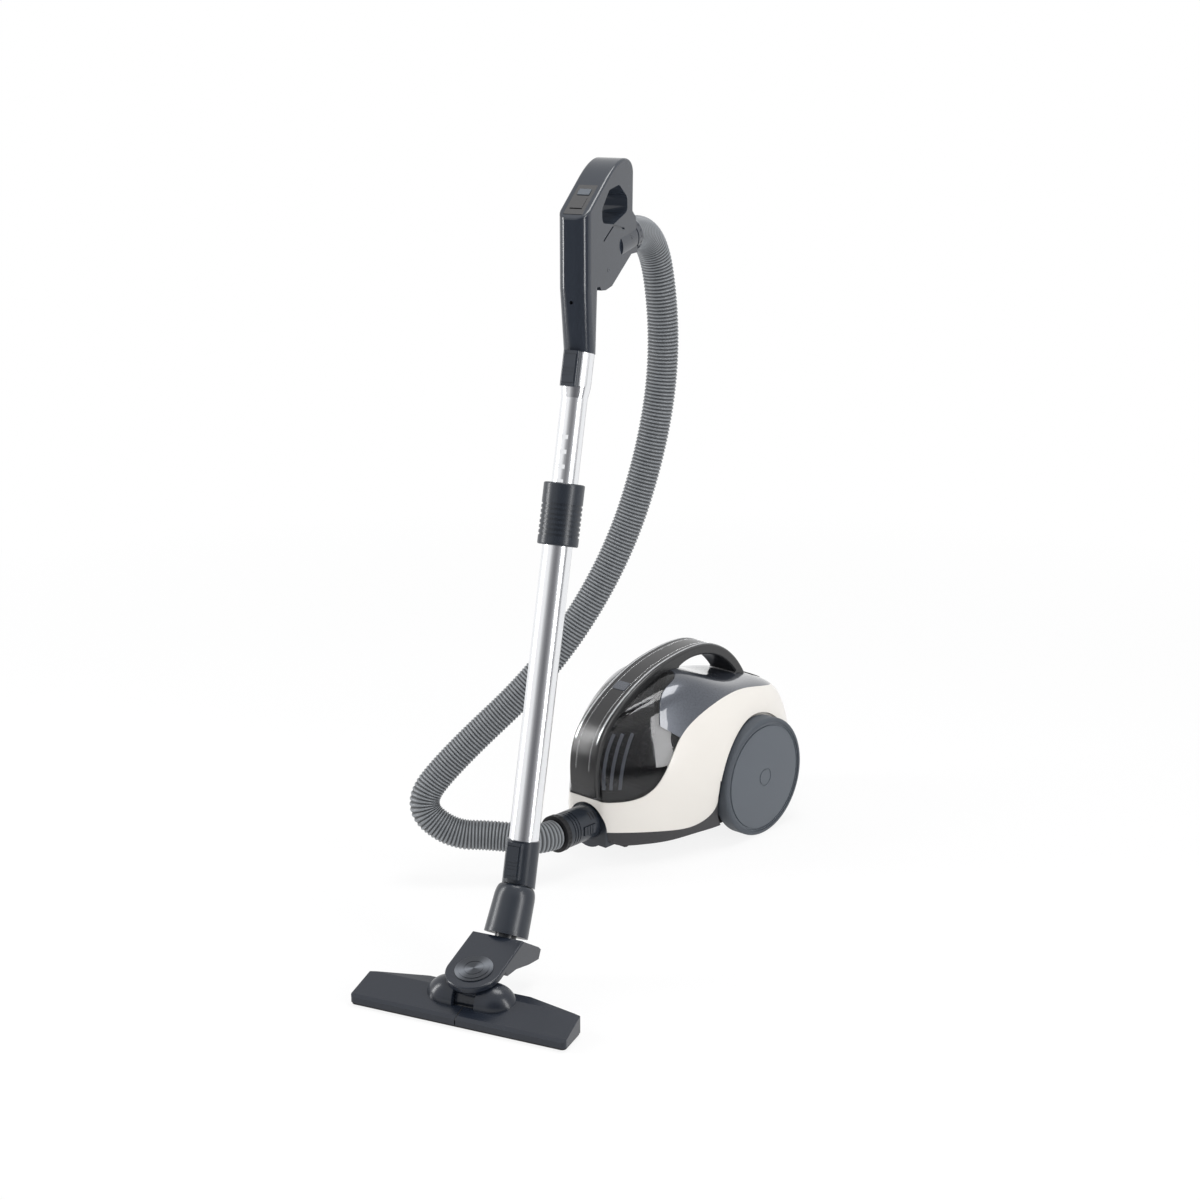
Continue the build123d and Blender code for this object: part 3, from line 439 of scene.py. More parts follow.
@dataclass(frozen=True)
class SpunMetal:
    """A lathe-turned disc: fine rings about its axis, and two bright fans painted into its colour as a
    painted highlight of the turned metal.
    """

    name: str
    dark: Colour
    # bright is the colour of the painted highlight fans.
    bright: Colour
    centre: Place
    across: Place
    along: Place
    highlight_fan_turn: float = math.radians(38.0)
    pitch: float = 0.0008

    def material(self) -> bpy.types.Material:
        """Build the finish as a material."""
        material, surface = new_surface(self.name)
        middle = {0: surface.place(), 1: self.centre}
        offset = surface.add("ShaderNodeVectorMath", {"operation": "SUBTRACT"}, middle)
        radius = surface.add("ShaderNodeVectorMath", {"operation": "LENGTH"}, {0: offset}, "Value")
        product = {"operation": "DOT_PRODUCT"}
        x = surface.add("ShaderNodeVectorMath", product, {0: offset, 1: self.across}, "Value")
        y = surface.add("ShaderNodeVectorMath", product, {0: offset, 1: self.along}, "Value")
        # The two fans are a painted highlight; the fine rings mixed in with them are the turning's own
        # pattern.
        angle = x.turn_with(y) - self.highlight_fan_turn
        painted_fan_highlight = ((angle * 2.0 + math.pi / 2.0).wave() * 0.5 + 0.5) ** 3.0
        ring = (radius * (2.0 * math.pi / self.pitch)).wave() * 0.5 + 0.5
        tone = (painted_fan_highlight * 0.85 + ring * 0.15).held()
        surface.principled({
            "Base Color": surface.mixed(tone, self.dark, self.bright),
            "Metallic": 0.6,
            "Roughness": (0.30 + ring * 0.08 + (surface.noise(60.0, 2.0) - 0.5) * 0.06).held(),
            "Normal": surface.bump(ring, 0.00002),
        })
        return material


@dataclass(frozen=True)
class Felt:
    """Felted filter pad or brushed lint strip: short tangled fibres."""

    name: str
    colour: Colour

    def material(self) -> bpy.types.Material:
        """Build the finish as a material."""
        material, surface = new_surface(self.name)
        fibre = surface.noise(900.0, 6.0)
        surface.principled({
            "Base Color": surface.mixed(fibre, shade(self.colour, 0.6), shade(self.colour, 1.25)),
            "Roughness": (0.8 + fibre * 0.2).held(),
            "Normal": surface.bump(fibre, 0.0004),
        })
        return material


WAND_LEAN = math.radians(15.8)
WAND_AXIS = tuple(math.sin(WAND_LEAN) * HEAD_Y + math.cos(WAND_LEAN) * UP)
DISC_CENTRE = tuple(on_head(0.0, 0.048, 0.053))
DISC_LEAN = math.radians(15.0)
DISC_WAYS = (tuple(HEAD_X), tuple(math.cos(DISC_LEAN) * HEAD_Y + math.sin(DISC_LEAN) * UP))


class Finish(Enum):
    """The finishes of this object's pieces."""

    PALE = Moulded("pale_shell", (0.775, 0.745, 0.695), 0.30, 0.0011, 0.000012, 0.02, 0.0, 0.35)
    SKIRT = Moulded("dark_skirt", (0.042, 0.041, 0.044), 0.42, 0.0007, 0.00003, shine=0.3)
    HEAD = Moulded("head_charcoal", (0.012, 0.016, 0.025), 0.25, 0.0006, 0.000008, shine=0.45)
    GREY = Moulded("slate_plastic", (0.018, 0.023, 0.032), 0.30, 0.0006, 0.000006, shine=0.45)
    HANDLE = Moulded("handle_slate", (0.026, 0.032, 0.043), 0.15, 0.0006, 0.000004, shine=0.5)
    WHEEL = Moulded("wheel_slate", (0.098, 0.112, 0.130), 0.42, 0.0009, 0.00003, 0.05, 0.1, shine=0.4)
    TYRE = Moulded("tyre_rubber", (0.070, 0.080, 0.094), 0.55, 0.0008, 0.00004, shine=0.3)
    BLACK = Moulded("black_plastic", (0.012, 0.012, 0.014), 0.45, 0.0006, 0.00003, shine=0.3)
    GLOSS_BLACK = Moulded("black_gloss", (0.008, 0.008, 0.010), 0.12, 0.0009, 0.000004, coat=1.0)
    SPINE = Moulded("spine_dark", (0.020, 0.020, 0.021), 0.24, 0.0007, 0.000005, 0.08, shine=0.5)
    RUBBER = Moulded("black_rubber", (0.022, 0.022, 0.023), 0.65, 0.0009, 0.00005, shine=0.3)
    # The hose's dark groove colour is painted shade and its pale ridge colour is painted light.
    HOSE = Ribbed("hose_grey", (0.026, 0.028, 0.031), (0.240, 0.255, 0.270))
    DECK = FlakeGloss("deck_grey", (0.048, 0.056, 0.073))
    SMOKED = Smoked("bin_smoked", (0.34, 0.345, 0.36))
    TUBE = DrawnMetal("bright_tube", (0.86, 0.87, 0.89), 0.20, WAND_AXIS)
    STEEL = DrawnMetal("plain_steel", (0.62, 0.62, 0.63), 0.28)
    TRIM = Beaded("bright_trim", (0.80, 0.81, 0.83))
    BRIGHT = DrawnMetal("bright_inlay", (0.84, 0.85, 0.86), 0.20)
    # The disc's bright colour is a painted highlight, laid in two fans.
    DISC = SpunMetal("spun_disc", (0.022, 0.025, 0.031), (0.20, 0.215, 0.24), DISC_CENTRE, *DISC_WAYS)
    SLAT = Moulded("slat_grey", (0.68, 0.73, 0.80), 0.3, 0.0006, 0.00001)
    FELT = Felt("filter_felt", (0.42, 0.41, 0.38))


MATERIALS: dict[Finish, bpy.types.Material] = {}


def finish_of(finish: Finish) -> bpy.types.Material:
    """The material of a finish, made once.

    Args:
        finish: the finish wanted.

    Returns:
        Its material.
    """
    if finish not in MATERIALS:
        MATERIALS[finish] = finish.value.material()
    return MATERIALS[finish]


def dress(finish: Finish, *nodes: str) -> None:
    """Give CAD nodes a finish.

    Args:
        finish: the finish.
        nodes: names of the nodes.
    """
    for name in nodes:
        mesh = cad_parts[name].data
        mesh.materials.clear()
        mesh.materials.append(finish_of(finish))
        LOG.info("%s wears %s", name, finish.value.name)


def smooth_object(name: str, mesh: bpy.types.Mesh, finish: Finish) -> bpy.types.Object:
    """Make a smooth shaded object of a mesh and link it to the scene.

    Args:
        name: the object's name.
        mesh: its mesh.
        finish: the finish that it wears.

    Returns:
        The object.
    """
    mesh.polygons.foreach_set("use_smooth", np.ones(len(mesh.polygons), dtype=bool))
    mesh.materials.append(finish_of(finish))
    mesh.update()
    piece = bpy.data.objects.new(name, mesh)
    bpy.context.scene.collection.objects.link(piece)
    return piece


def grid_mesh(name: str, points: np.ndarray, finish: Finish, around: bool, along: bool) -> bpy.types.Object:
    """Make an object from a grid of points, with quads between neighbours.

    Args:
        name: the object's name.
        points: array of rows by columns by three.
        finish: the finish it wears.
        around: whether the last column joins the first.
        along: whether the last row joins the first.

    Returns:
        The object, smooth shaded and linked to the scene.
    """
    rows, columns = points.shape[:2]
    index = np.arange(rows * columns).reshape(rows, columns)
    if along:
        index = np.concatenate((index, index[:1]), axis=0)
    if around:
        index = np.concatenate((index, index[:, :1]), axis=1)
    corners = (index[:-1, :-1], index[:-1, 1:], index[1:, 1:], index[1:, :-1])
    quads = np.stack([c.ravel() for c in corners], axis=1)
    mesh = bpy.data.meshes.new(name)
    mesh.from_pydata(points.reshape(-1, 3), [], quads)
    return smooth_object(name, mesh, finish)


def surface_hits(node: str, starts: np.ndarray, ways: np.ndarray) -> tuple[np.ndarray, np.ndarray]:
    """Where straight lines first meet a CAD node.

    Args:
        node: the node's name.
        starts: array of start points, by three.
        ways: array of directions, by three.

    Returns:
        The points met and the surface's normals there, for the lines that meet the node.
    """
    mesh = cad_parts[node].data
    tree = BVHTree.FromPolygons([v.co for v in mesh.vertices], [p.vertices for p in mesh.polygons])
    found = [tree.ray_cast(Vector(start), Vector(way)) for start, way in zip(starts, ways)]
    found = [hit for hit in found if hit[0] is not None]
    return np.array([hit[0] for hit in found]), np.array([hit[1] for hit in found])


def spaced(line: np.ndarray, gap: float) -> np.ndarray:
    """Points at even gaps along a line of points.

    Args:
        line: array of points, by three or more columns; the first three are the place.
        gap: the gap, in metres.

    Returns:
        Array with the same columns.
    """
    steps = np.r_[0.0, np.cumsum(np.linalg.norm(np.diff(line[:, :3], axis=0), axis=1))]
    at = np.arange(0.5 * gap, steps[-1], gap)
    return np.stack([np.interp(at, steps, line[:, i]) for i in range(line.shape[1])], axis=1)


def capped_rings(name: str, rings: np.ndarray, tops: np.ndarray, finish: Finish) -> bpy.types.Object:
    """Close stacks of rings into small solids.

    Neighbouring rings are joined by quads, the first ring to its top point and the last to its own middle.

    Args:
        name: the object's name.
        rings: array of solids by rings by points by three, each ring counter-clockwise seen from its top.
        tops: array of top points, by three.
        finish: the finish that the solids wear.

    Returns:
        One object with all the solids, smooth shaded and linked to the scene.
    """
    count, levels, sides = rings.shape[:3]
    ends = np.stack((tops, rings[:, -1].mean(axis=1)), axis=1)
    points = np.concatenate((rings.reshape(count, -1, 3), ends), axis=1)
    ring = np.arange(sides)
    ahead = (ring + 1) % sides
    level = sides * np.arange(levels - 1)[:, None]
    walls = np.stack((level + sides + ring, level + sides + ahead, level + ahead, level + ring), axis=2)
    top = np.stack((ring, ahead, np.full(sides, levels * sides)), axis=1)
    last = sides * (levels - 1)
    foot = np.stack((last + ahead, last + ring, np.full(sides, levels * sides + 1)), axis=1)
    first = points.shape[1] * np.arange(count)[:, None, None]
    faces = (walls.reshape(1, -1, 4) + first).reshape(-1, 4).tolist()
    faces += (np.concatenate((top, foot))[None] + first).reshape(-1, 3).tolist()
    mesh = bpy.data.meshes.new(name)
    mesh.from_pydata(points.reshape(-1, 3), [], faces)
    return smooth_object(name, mesh, finish)


def turned_discs(
    name: str, profile: np.ndarray, spots: np.ndarray, normals: np.ndarray, finish: Finish, sides: int = 24
) -> bpy.types.Object:
    """Set small turned pieces on a surface.

    Each piece is a profile of (radius, height) carried round the surface's normal at its spot: point =
    spot + radius * (cos a * u + sin a * v) + height * n, where u and v square up with the normal n. The
    profile starts on the axis, and its last ring sits below the surface.

    Args:
        name: the object's name.
        profile: array of radius and height pairs, in metres, from the middle outwards.
        spots: array of places, by three.
        normals: array of unit normals, by three.
        finish: the finish that the pieces wear.
        sides: number of steps round the axis.

    Returns:
        One object with all the pieces.
    """
    helper = np.where(np.abs(normals[:, :1]) < 0.8, np.array((1.0, 0.0, 0.0)), np.array((0.0, 1.0, 0.0)))
    u = np.cross(helper, normals)
    u /= np.linalg.norm(u, axis=1, keepdims=True)
    v = np.cross(normals, u)
    angle = np.linspace(0.0, 2.0 * np.pi, sides, endpoint=False)
    spoke = np.cos(angle)[None, :, None] * u[:, None] + np.sin(angle)[None, :, None] * v[:, None]
    radius, height = profile[1:, :1], profile[1:, 1:]
    rings = spots[:, None, None] + radius[None, :, None] * spoke[:, None]
    rings = rings + height[None, :, None] * normals[:, None, None]
    return capped_rings(name, rings, spots + profile[0, 1] * normals, finish)


def ribbons(
    name: str, lines: np.ndarray, normals: np.ndarray, size: Pair, finish: Finish
) -> bpy.types.Object:
    """Lay flat bars along lines on a surface.

    At each point of a line the section is a rectangle, with its width square to the line and to the normal n
    and its height along n, half above the line and half below.

    Args:
        name: the object's name.
        lines: array of lines by points by three.
        normals: array of unit normals of the same shape.
        size: width and height of the bars, in metres.
        finish: the finish that the bars wear.

    Returns:
        One object with all the bars.
    """
    ahead = np.gradient(lines, axis=1)
    ahead /= np.linalg.norm(ahead, axis=2, keepdims=True)
    side = np.cross(ahead, normals)
    side /= np.linalg.norm(side, axis=2, keepdims=True)
    corners = 0.5 * np.array(((-1.0, -1.0), (1.0, -1.0), (1.0, 1.0), (-1.0, 1.0))) * np.array(size)
    rings = lines[:, :, None] + corners[:, :1] * side[:, :, None] + corners[:, 1:] * normals[:, :, None]
    bars = capped_rings(name, rings, rings[:, 0].mean(axis=1), finish)
    bars.data.polygons.foreach_set("use_smooth", np.zeros(len(bars.data.polygons), dtype=bool))
    return bars


def pad_outline(half: Pair, shares: Sequence[float], sides: int = 32) -> tuple[np.ndarray, np.ndarray]:
    """Rings of a flat pad with rounded ends.

    Each ring is a superellipse of power 3: s = half width * sign(cos a) * |cos a|^(2/3), and t the same with
    the half height and the sine, drawn in to its share.

    Args:
        half: half of the pad's width and height, in metres.
        shares: the share of the full size of each ring.
        sides: number of steps round the pad.

    Returns:
        The places across and along the pad, as arrays of rings by points.
    """
    angle = np.linspace(0.0, 2.0 * np.pi, sides, endpoint=False)
    share = np.array(shares)[:, None]
    s = half[0] * np.sign(np.cos(angle)) * np.abs(np.cos(angle)) ** (2.0 / 3.0) * share
    t = half[1] * np.sign(np.sin(angle)) * np.abs(np.sin(angle)) ** (2.0 / 3.0) * share
    return s, t


@dataclass
class Canister:
    """The body on wheels: shell, skirt, deck, wheels and what is inside."""

    cuff_radius: float = 0.0240
    inlet_height: float = 0.059
    slot_half: Pair = (0.0011, 0.0060)
    slot_rows: tuple[float, ...] = (-0.2445, -0.2495, -0.2545)
    slot_angle: float = math.radians(42.0)
    slot_shares: tuple[float, ...] = (0.5, 0.9, 1.0)
    slot_lifts: tuple[float, ...] = (0.00012, 0.0001, -0.0002)

    def build(self) -> None:
        """Set three dark slots in the cuff's upper right side: black pads whose black is painted shade of the
        slot openings.

        A slot is a pad on the cuff's cylinder: its flat point (s, t) goes to y = row + s along the hose's
        axis and to the angle slot_angle + t / radius round it, and its rim goes a little below the surface.
        """
        s, t = pad_outline(self.slot_half, self.slot_shares)
        lift = self.cuff_radius + np.array(self.slot_lifts)[:, None]
        turn = self.slot_angle + t / self.cuff_radius
        across, height = lift * np.cos(turn), self.inlet_height + lift * np.sin(turn)
        rings = np.stack([np.stack((across, row + s, height), axis=2) for row in self.slot_rows])
        rings = rings + CANISTER_AT
        # The black pads stand in for the slots' openings: painted shade.
        slots = capped_rings("cuff_slot_shades", rings, rings[:, 0].mean(axis=1), Finish.BLACK)
        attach(slots, "canister")
        LOG.info("cuff_slot_shades has %d slots", len(self.slot_rows))

    def dress(self) -> None:
        """Give the solids their finishes."""
        dress(Finish.PALE, "body_shell")
        dress(Finish.SKIRT, "lower_base", "reel_plate")
        dress(Finish.DECK, "top_deck")
        dress(Finish.BLACK, "rewind_button", "cord_reel", "exhaust_grille", "caster_fork")
        dress(Finish.BLACK, "hose_ring", "bin_cradle")
        dress(Finish.STEEL, "base_screws", "motor_case", "axle_pins", "caster_pin", "impeller")
        dress(Finish.FELT, "pre_filter", "exhaust_filter")
        dress(Finish.RUBBER, "cord_outlet", "caster_wheel")
        dress(Finish.GREY, "inlet_socket", "hose_cuff", "cuff_button_left", "cuff_button_right")
        dress(Finish.TYRE, "tyre_left", "tyre_right")
        dress(Finish.WHEEL, "wheel_disc_left", "wheel_disc_right")


@dataclass
class DustBin:
    """The lift-out bin: smoked drum, spine with its carrying arch, shroud and paddle."""

    bead_lines: tuple[float, ...] = (-0.0115, 0.0115)
    bead_radius: float = 0.00075
    bead_pitch: float = 0.0028
    bead_dome: tuple[Pair, ...] = ((0.0, 0.55), (0.6, 0.42), (1.0, -0.1))
    bead_sides: int = 8
    hub: Pair = (-0.090, 0.100)
    sweep: Pair = (22.0, 168.0)
    sweep_steps: int = 240
    clear_of_body: float = 0.5
    slat_rows: tuple[float, ...] = (-0.0460, -0.0375, -0.0290, 0.0290, 0.0375, 0.0460)
    slat_height: Pair = (0.110, 0.184)
    slat_size: Pair = (0.0044, 0.0016)
    slat_depth: float = 0.0037
    slat_steps: int = 14

    def build(self) -> None:
        """Build the bright beads on the spine and the slats behind the bin's front."""
        self._beads()
        self._slats()

    def _beads(self) -> None:
        """Set a row of bright beads along each side of the spine's back.

        Lines towards a hub inside the body meet the spine's back; the beads stand on those points at even
        gaps, each a low dome turned about the surface's normal.
        """
        angle = np.radians(np.linspace(*self.sweep, self.sweep_steps))
        ways = np.stack((np.zeros_like(angle), -np.cos(angle), -np.sin(angle)), axis=1)
        lines = []
        for x in self.bead_lines:
            hub = CANISTER_AT + np.array((x, *self.hub))
            met = np.hstack(surface_hits("bin_spine", hub - self.clear_of_body * ways, ways))
            lines.append(spaced(met, self.bead_pitch))
        rows = np.concatenate(lines)
        normals = rows[:, 3:] / np.linalg.norm(rows[:, 3:], axis=1, keepdims=True)
        dome = self.bead_radius * np.array(self.bead_dome)
        beads = turned_discs("spine_beads", dome, rows[:, :3], normals, Finish.BRIGHT, self.bead_sides)
        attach(beads, "bin")
        LOG.info("spine_beads has %d beads", len(rows))

    def _slats(self) -> None:
        """Stand upright slats on the inside of the bin's front wall.

        Level lines from the front meet the bin; each slat's line runs through those points, drawn in along
        the normal by slat_depth, so that its outer face meets the wall's inner one.
        """
        height = np.linspace(*self.slat_height, self.slat_steps)
        lines, normals = [], []
        for x in self.slat_rows:
            starts = CANISTER_AT + np.array([(x, -self.clear_of_body, z) for z in height])
            met, out = surface_hits("dust_bin", starts, np.tile((0.0, 1.0, 0.0), (len(height), 1)))
            lines.append(met - self.slat_depth * out)
            normals.append(out)
        slats = ribbons("bin_slats", np.array(lines), np.array(normals), self.slat_size, Finish.SLAT)
        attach(slats, "bin")
        LOG.info("bin_slats has %d slats", len(lines))

    def dress(self) -> None:
        """Give the solids their finishes."""
        dress(Finish.SMOKED, "dust_bin")
        dress(Finish.SPINE, "bin_spine")
        dress(Finish.DECK, "bin_button")
        dress(Finish.TRIM, "bin_trims")
        dress(Finish.BLACK, "mesh_shroud", "bin_paddle")


@dataclass
class FloorHead:
    """The floor head with its joint block, neck and lower socket."""

    seam_reach: Pair = (0.0012, 0.0208)
    seam_size: Pair = (0.0012, 0.0004)
    seam_steps: int = 12
    clear_above: float = 0.2

    def build(self) -> None:
        """Lay the dark seam between the cover's halves along the middle of its front slope.

        Upright lines from above meet the cover; the seam's bar runs through those points.
        """
        y = np.linspace(*self.seam_reach, self.seam_steps)
        starts = np.array([on_head(0.0, step, self.clear_above) for step in y])
        met, out = surface_hits("head_cover", starts, np.tile((0.0, 0.0, -1.0), (len(y), 1)))
        seam = ribbons("cover_seam", met[None], out[None], self.seam_size, Finish.BLACK)
        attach(seam, "head")
        LOG.info("cover_seam runs over %d points", len(met))

    def dress(self) -> None:
        """Give the solids their finishes."""
        dress(Finish.HEAD, "head_cover", "joint_block")
        dress(Finish.BLACK, "sole_plate")
        dress(Finish.FELT, "lint_pads")
        dress(Finish.RUBBER, "head_roller_left", "head_roller_right")
        dress(Finish.STEEL, "roller_pins", "pivot_pin")
        dress(Finish.DISC, "joint_disc")
        dress(Finish.GREY, "neck_sleeve", "nozzle_socket", "nozzle_latch")


@dataclass
class Wand:
    """The telescopic wand and its handle."""

    plug_radius: float = 0.0030
    plug_dish: tuple[Pair, ...] = ((0.0, 0.03), (0.55, 0.03), (0.72, 0.10), (0.92, 0.10), (1.0, -0.05))
    plug_spots: tuple[Pair, ...] = ((0.374, 0.817), (0.438, 0.850))
    clear_beside: float = 0.08

    def build(self) -> None:
        """Press two round plugs into the handle's right side.

        A plug is a dished disc turned about the side's normal, set where a level line from the right meets
        the side: its middle lies low, its rim a little proud.
        """
        dish = self.plug_radius * np.array(self.plug_dish)
        starts = np.array([on_head(self.clear_beside, y, z) for y, z in self.plug_spots])
        spots, out = surface_hits("handle_right", starts, np.tile(-HEAD_X, (len(starts), 1)))
        plugs = turned_discs("handle_plugs", dish, spots, out, Finish.HANDLE)
        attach(plugs, "handle")
        LOG.info("handle_plugs has %d plugs", len(spots))

    def dress(self) -> None:
        """Give the solids their finishes."""
        dress(Finish.TUBE, "outer_tube", "inner_tube")
        dress(Finish.GREY, "slide_collar")
        dress(Finish.BLACK, "telescope_bush", "handle_duct")
        dress(Finish.HANDLE, "handle_left", "handle_right", "hose_end_collar")
        dress(Finish.HANDLE, "handle_latch_frame", "handle_latch")
        dress(Finish.STEEL, "handle_screws")
        dress(Finish.GLOSS_BLACK, "control_panel")
        dress(Finish.WHEEL, "power_key")
        dress(Finish.GLOSS_BLACK, "speed_key")


@dataclass
class Hose:
    """The ribbed hose from the cuff's ring to the handle's collar."""

    outside: float = 0.0200
    root: float = 0.0180
    bore: float = 0.0160
    pitch: float = 0.0046
    rings: int = 6
    sides: int = 40
    spline_steps: int = 40
    ridge_power: float = 0.6
    bend: Pair = (0.16, 0.80)
    steady: Place = (0.85, -0.53, 0.0)
    route: tuple[Place, ...] = (
        (0.0, -0.3043, 0.059), (0.0, -0.336, 0.059), (-0.048, -0.368, 0.064), (-0.090, -0.408, 0.066),
        (-0.128, -0.433, 0.105), (-0.103, -0.395, 0.162), (-0.021, -0.294, 0.281), (0.029, -0.213, 0.423),
        (0.054, -0.169, 0.576), (0.061, -0.155, 0.714), (0.05607, -0.18085, 0.85925),
        (0.07788, -0.25264, 0.84871),
    )

    def centre_line(self) -> np.ndarray:
        """Points along the smooth spline that the route controls.

        Returns:
            Array of points in the row's frame, from the cuff to the handle.
        """
        curve = bpy.data.curves.new("hose_route", "CURVE")
        curve.dimensions = "3D"
        spline = curve.splines.new("NURBS")
        spline.points.add(len(self.route) - 1)
        places = np.array(self.route) + CANISTER_AT
        spline.points.foreach_set("co", np.c_[places, np.ones(len(places))].ravel())
        spline.order_u = 3
        spline.use_endpoint_u = True
        spline.resolution_u = self.spline_steps
        holder = bpy.data.objects.new("hose_route", curve)
        line = bpy.data.meshes.new_from_object(holder)
        points = np.empty(len(line.vertices) * 3)
        line.vertices.foreach_get("co", points)
        bpy.data.objects.remove(holder)
        bpy.data.curves.remove(curve)
        bpy.data.meshes.remove(line)
        return points.reshape(-1, 3)

    def build(self) -> None:
        """Carry a ribbed ring along the centre line.

        At arc length s the outside radius is root + (outside - root) * h(s / pitch), where h rises and falls
        once a pitch as a rounded wave, and the wall is closed through the bore at both ends.
        """
        line = self.centre_line()
        steps = np.r_[0.0, np.cumsum(np.linalg.norm(np.diff(line, axis=0), axis=1))]
        length = steps[-1]
        ribs = int(length / self.pitch)
        at = np.linspace(0.0, length, ribs * self.rings + 1)
        centre = np.stack([np.interp(at, steps, line[:, i]) for i in range(3)], axis=1)
        ahead = np.gradient(centre, at, axis=0)
        ahead /= np.linalg.norm(ahead, axis=1, keepdims=True)
        side = np.array(self.steady) - ahead * (ahead @ np.array(self.steady))[:, None]
        side /= np.linalg.norm(side, axis=1, keepdims=True)
        other = np.cross(ahead, side)
        wave = 0.5 - 0.5 * np.cos(2.0 * np.pi * at / length * ribs)
        ridge = wave ** self.ridge_power
        radius = self.root + (self.outside - self.root) * ridge
        angle = np.linspace(0.0, 2.0 * np.pi, self.sides, endpoint=False)
        spoke = np.cos(angle)[None, :, None] * side[:, None] + np.sin(angle)[None, :, None] * other[:, None]
        outside = centre[:, None] + spoke * radius[:, None, None]
        inside = (centre[:, None] + spoke * self.bore)[::-self.rings]
        hose = grid_mesh("hose_ribbed", np.concatenate((outside, inside)), Finish.HOSE, True, True)
        # The kept ridge height also places the hose finish's painted shade in the grooves and painted light
        # on the ridges.
        height = np.repeat(np.r_[ridge, np.zeros(len(inside))], self.sides)
        hose.data.attributes.new("ridge", "FLOAT", "POINT").data.foreach_set("value", height)
        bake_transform(hose)
        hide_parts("hose")
        LOG.info("hose_ribbed is %.3f m long with %d ribs", length, ribs)


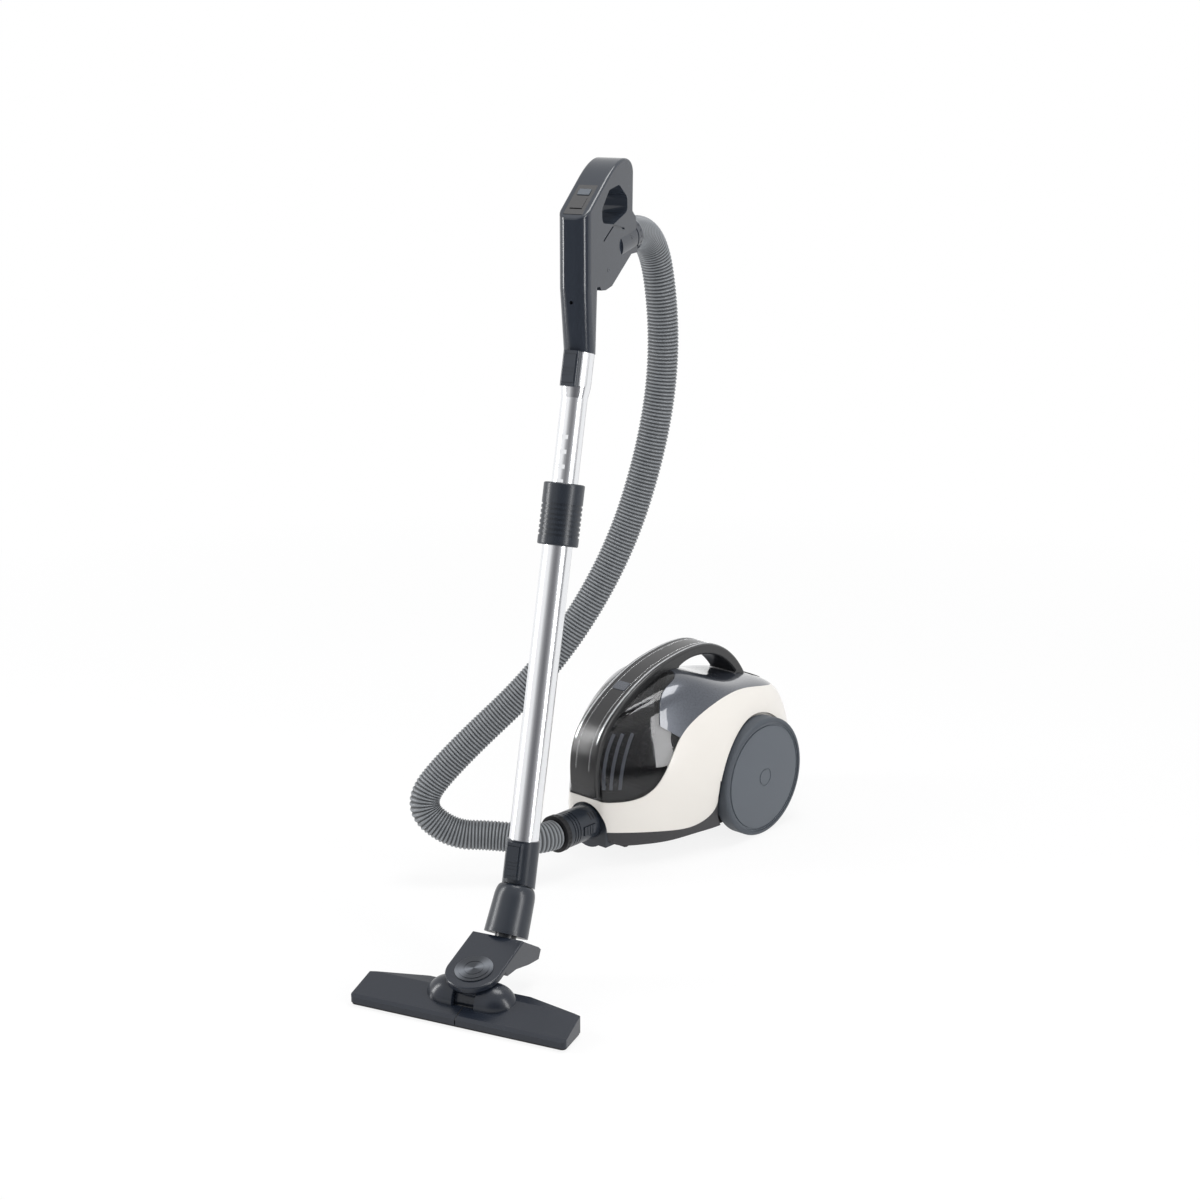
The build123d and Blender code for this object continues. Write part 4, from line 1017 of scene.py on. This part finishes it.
@dataclass
class Studio:
    """Pale floor, soft lamps, a bright surround and the camera."""

    camera_at: Place = (1.6932, -1.9332, 1.130)
    camera_turn: Place = (74.2, 0.0, 41.8)
    lens: float = 64.2
    sensor: float = 36.0
    lamps: tuple[tuple[str, Place, Place, Pair, float], ...] = (
        ("key", (-2.0, -1.7, 1.25), (0.0, 0.0, 0.9), (0.50, 2.3), 42.0),
        ("fill", (2.4, -0.1, 1.1), (0.0, 0.0, 0.8), (0.48, 2.1), 27.0),
        ("top", (0.2, 0.3, 2.8), (0.0, 0.0, 0.2), (1.0, 1.4), 34.0),
    )
    ambient: Colour = (0.46, 0.46, 0.47)
    band: tuple[tuple[float, Colour], ...] = (
        (0.0, WHITE), (0.66, WHITE), (0.84, (0.45, 0.45, 0.46)), (1.0, (0.13, 0.13, 0.14)),
    )
    floor_reach: float = 60.0
    floor_drop: float = 0.0005
    floor_tones: tuple[Colour, Colour] = ((0.93, 0.93, 0.93), (0.96, 0.96, 0.96))
    far_white: Pair = (0.9, 2.2)
    near_share: float = 0.86
    sweep_end: Pair = (0.5, 1.2)
    room_dark: Colour = (0.12, 0.12, 0.13)

    def _towards(self) -> Place:
        """The level direction from the object to the camera."""
        level = np.array((*self.camera_at[:2], 0.0))
        return tuple(level / np.linalg.norm(level))

    def build(self) -> None:
        """Set up camera, lamps, surround and floor."""
        scene = bpy.context.scene
        scene.view_settings.view_transform = "Standard"
        lens = bpy.data.cameras.new("camera")
        lens.lens = self.lens
        lens.sensor_width = self.sensor
        camera = bpy.data.objects.new("camera", lens)
        camera.location = self.camera_at
        camera.rotation_euler = [math.radians(a) for a in self.camera_turn]
        scene.collection.objects.link(camera)
        scene.camera = camera
        for name, place, target, size, power in self.lamps:
            self._lamp(name, np.array(place), np.array(target), size, power)
        self._surround()
        self._floor()

    @staticmethod
    def _lamp(name: str, place: np.ndarray, target: np.ndarray, size: Pair, power: float) -> None:
        """Hang a soft lamp that points at a target.

        Args:
            name: the lamp's name.
            place: where it hangs.
            target: what it points at.
            size: its width and height, in metres.
            power: its power, in watts.
        """
        data = bpy.data.lights.new(name, "AREA")
        data.shape = "RECTANGLE"
        data.size, data.size_y = size
        data.energy = power
        lamp = bpy.data.objects.new(name, data)
        lamp.location = place
        away = place - target
        flat = math.hypot(away[0], away[1])
        lamp.rotation_euler = (math.atan2(flat, away[2]), 0.0, math.atan2(away[1], away[0]) + math.pi / 2)
        bpy.context.scene.collection.objects.link(lamp)

    def _surround(self) -> None:
        """A white surround with one darker upright band, which bright metal shows as its dark stripe."""
        world = bpy.data.worlds.new("surround")
        world.use_nodes = True
        bpy.context.scene.world = world
        surface = Surface(world.node_tree)
        way = surface.add("ShaderNodeTexCoord", {}, {}, "Generated")
        pair = {0: way, 1: self._towards()}
        facing = surface.add("ShaderNodeVectorMath", {"operation": "DOT_PRODUCT"}, pair, "Value")
        band = surface.add("ShaderNodeValToRGB", {"stops": self.band}, {"Fac": facing})
        seen, glossy, through = surface.rays()
        plain = (seen + through).held()
        shown = surface.mixed(plain, band, WHITE)
        colour = surface.mixed((plain + glossy).held(), self.ambient, shown)
        light = surface.add("ShaderNodeBackground", {}, {"Color": colour, "Strength": 1.0})
        surface.add("ShaderNodeOutputWorld", {}, {"Surface": light})

    def _floor(self) -> None:
        """A wide white floor that keeps a soft share of the object's shadow near the object.

        The floor is a flat grid of four quads. Towards the camera's side it ends in a darker room, which only
        glossy surfaces show.
        """
        side = np.linspace(-self.floor_reach, self.floor_reach, 3)
        x, y = np.meshgrid(side, side, indexing="xy")
        places = np.stack((x, y, np.full_like(x, -self.floor_drop)), axis=2)
        floor = grid_mesh("floor", places, Finish.FELT, False, False)
        material, surface = new_surface("floor_white")
        tone = surface.mixed(surface.noise(3.0, 2.0), *self.floor_tones)
        matt = surface.add("ShaderNodeBsdfDiffuse", {}, {"Color": tone})
        seen, glossy, through = surface.rays()
        pair = {0: surface.place(), 1: self._towards()}
        ahead = surface.add("ShaderNodeVectorMath", {"operation": "DOT_PRODUCT"}, pair, "Value")
        first, last = self.sweep_end
        dim = ((ahead - first) / (last - first)).held() * glossy
        colour = surface.mixed(dim, WHITE, self.room_dark)
        white = surface.add("ShaderNodeEmission", {}, {"Color": colour, "Strength": 1.0})
        reach = surface.add("ShaderNodeVectorMath", {"operation": "LENGTH"}, {0: surface.place()}, "Value")
        near, far = self.far_white
        away = ((reach - near) / (far - near)).held()
        share = (seen + glossy + through).held() * (self.near_share + (1.0 - self.near_share) * away)
        both = surface.add("ShaderNodeMixShader", {}, {0: share, 1: matt, 2: white})
        surface.add("ShaderNodeOutputMaterial", {}, {"Surface": both})
        floor.data.materials.clear()
        floor.data.materials.append(material)


def main() -> None:
    """Build the studio, the hose and the finishes in order, and note the sizes."""
    logging.basicConfig(level=logging.INFO, format="%(name)s: %(message)s")
    Studio().build()
    Hose().build()
    for assembly in (Canister(), DustBin(), FloorHead(), Wand()):
        assembly.dress()
        assembly.build()


if __name__ == "__main__":
    main()
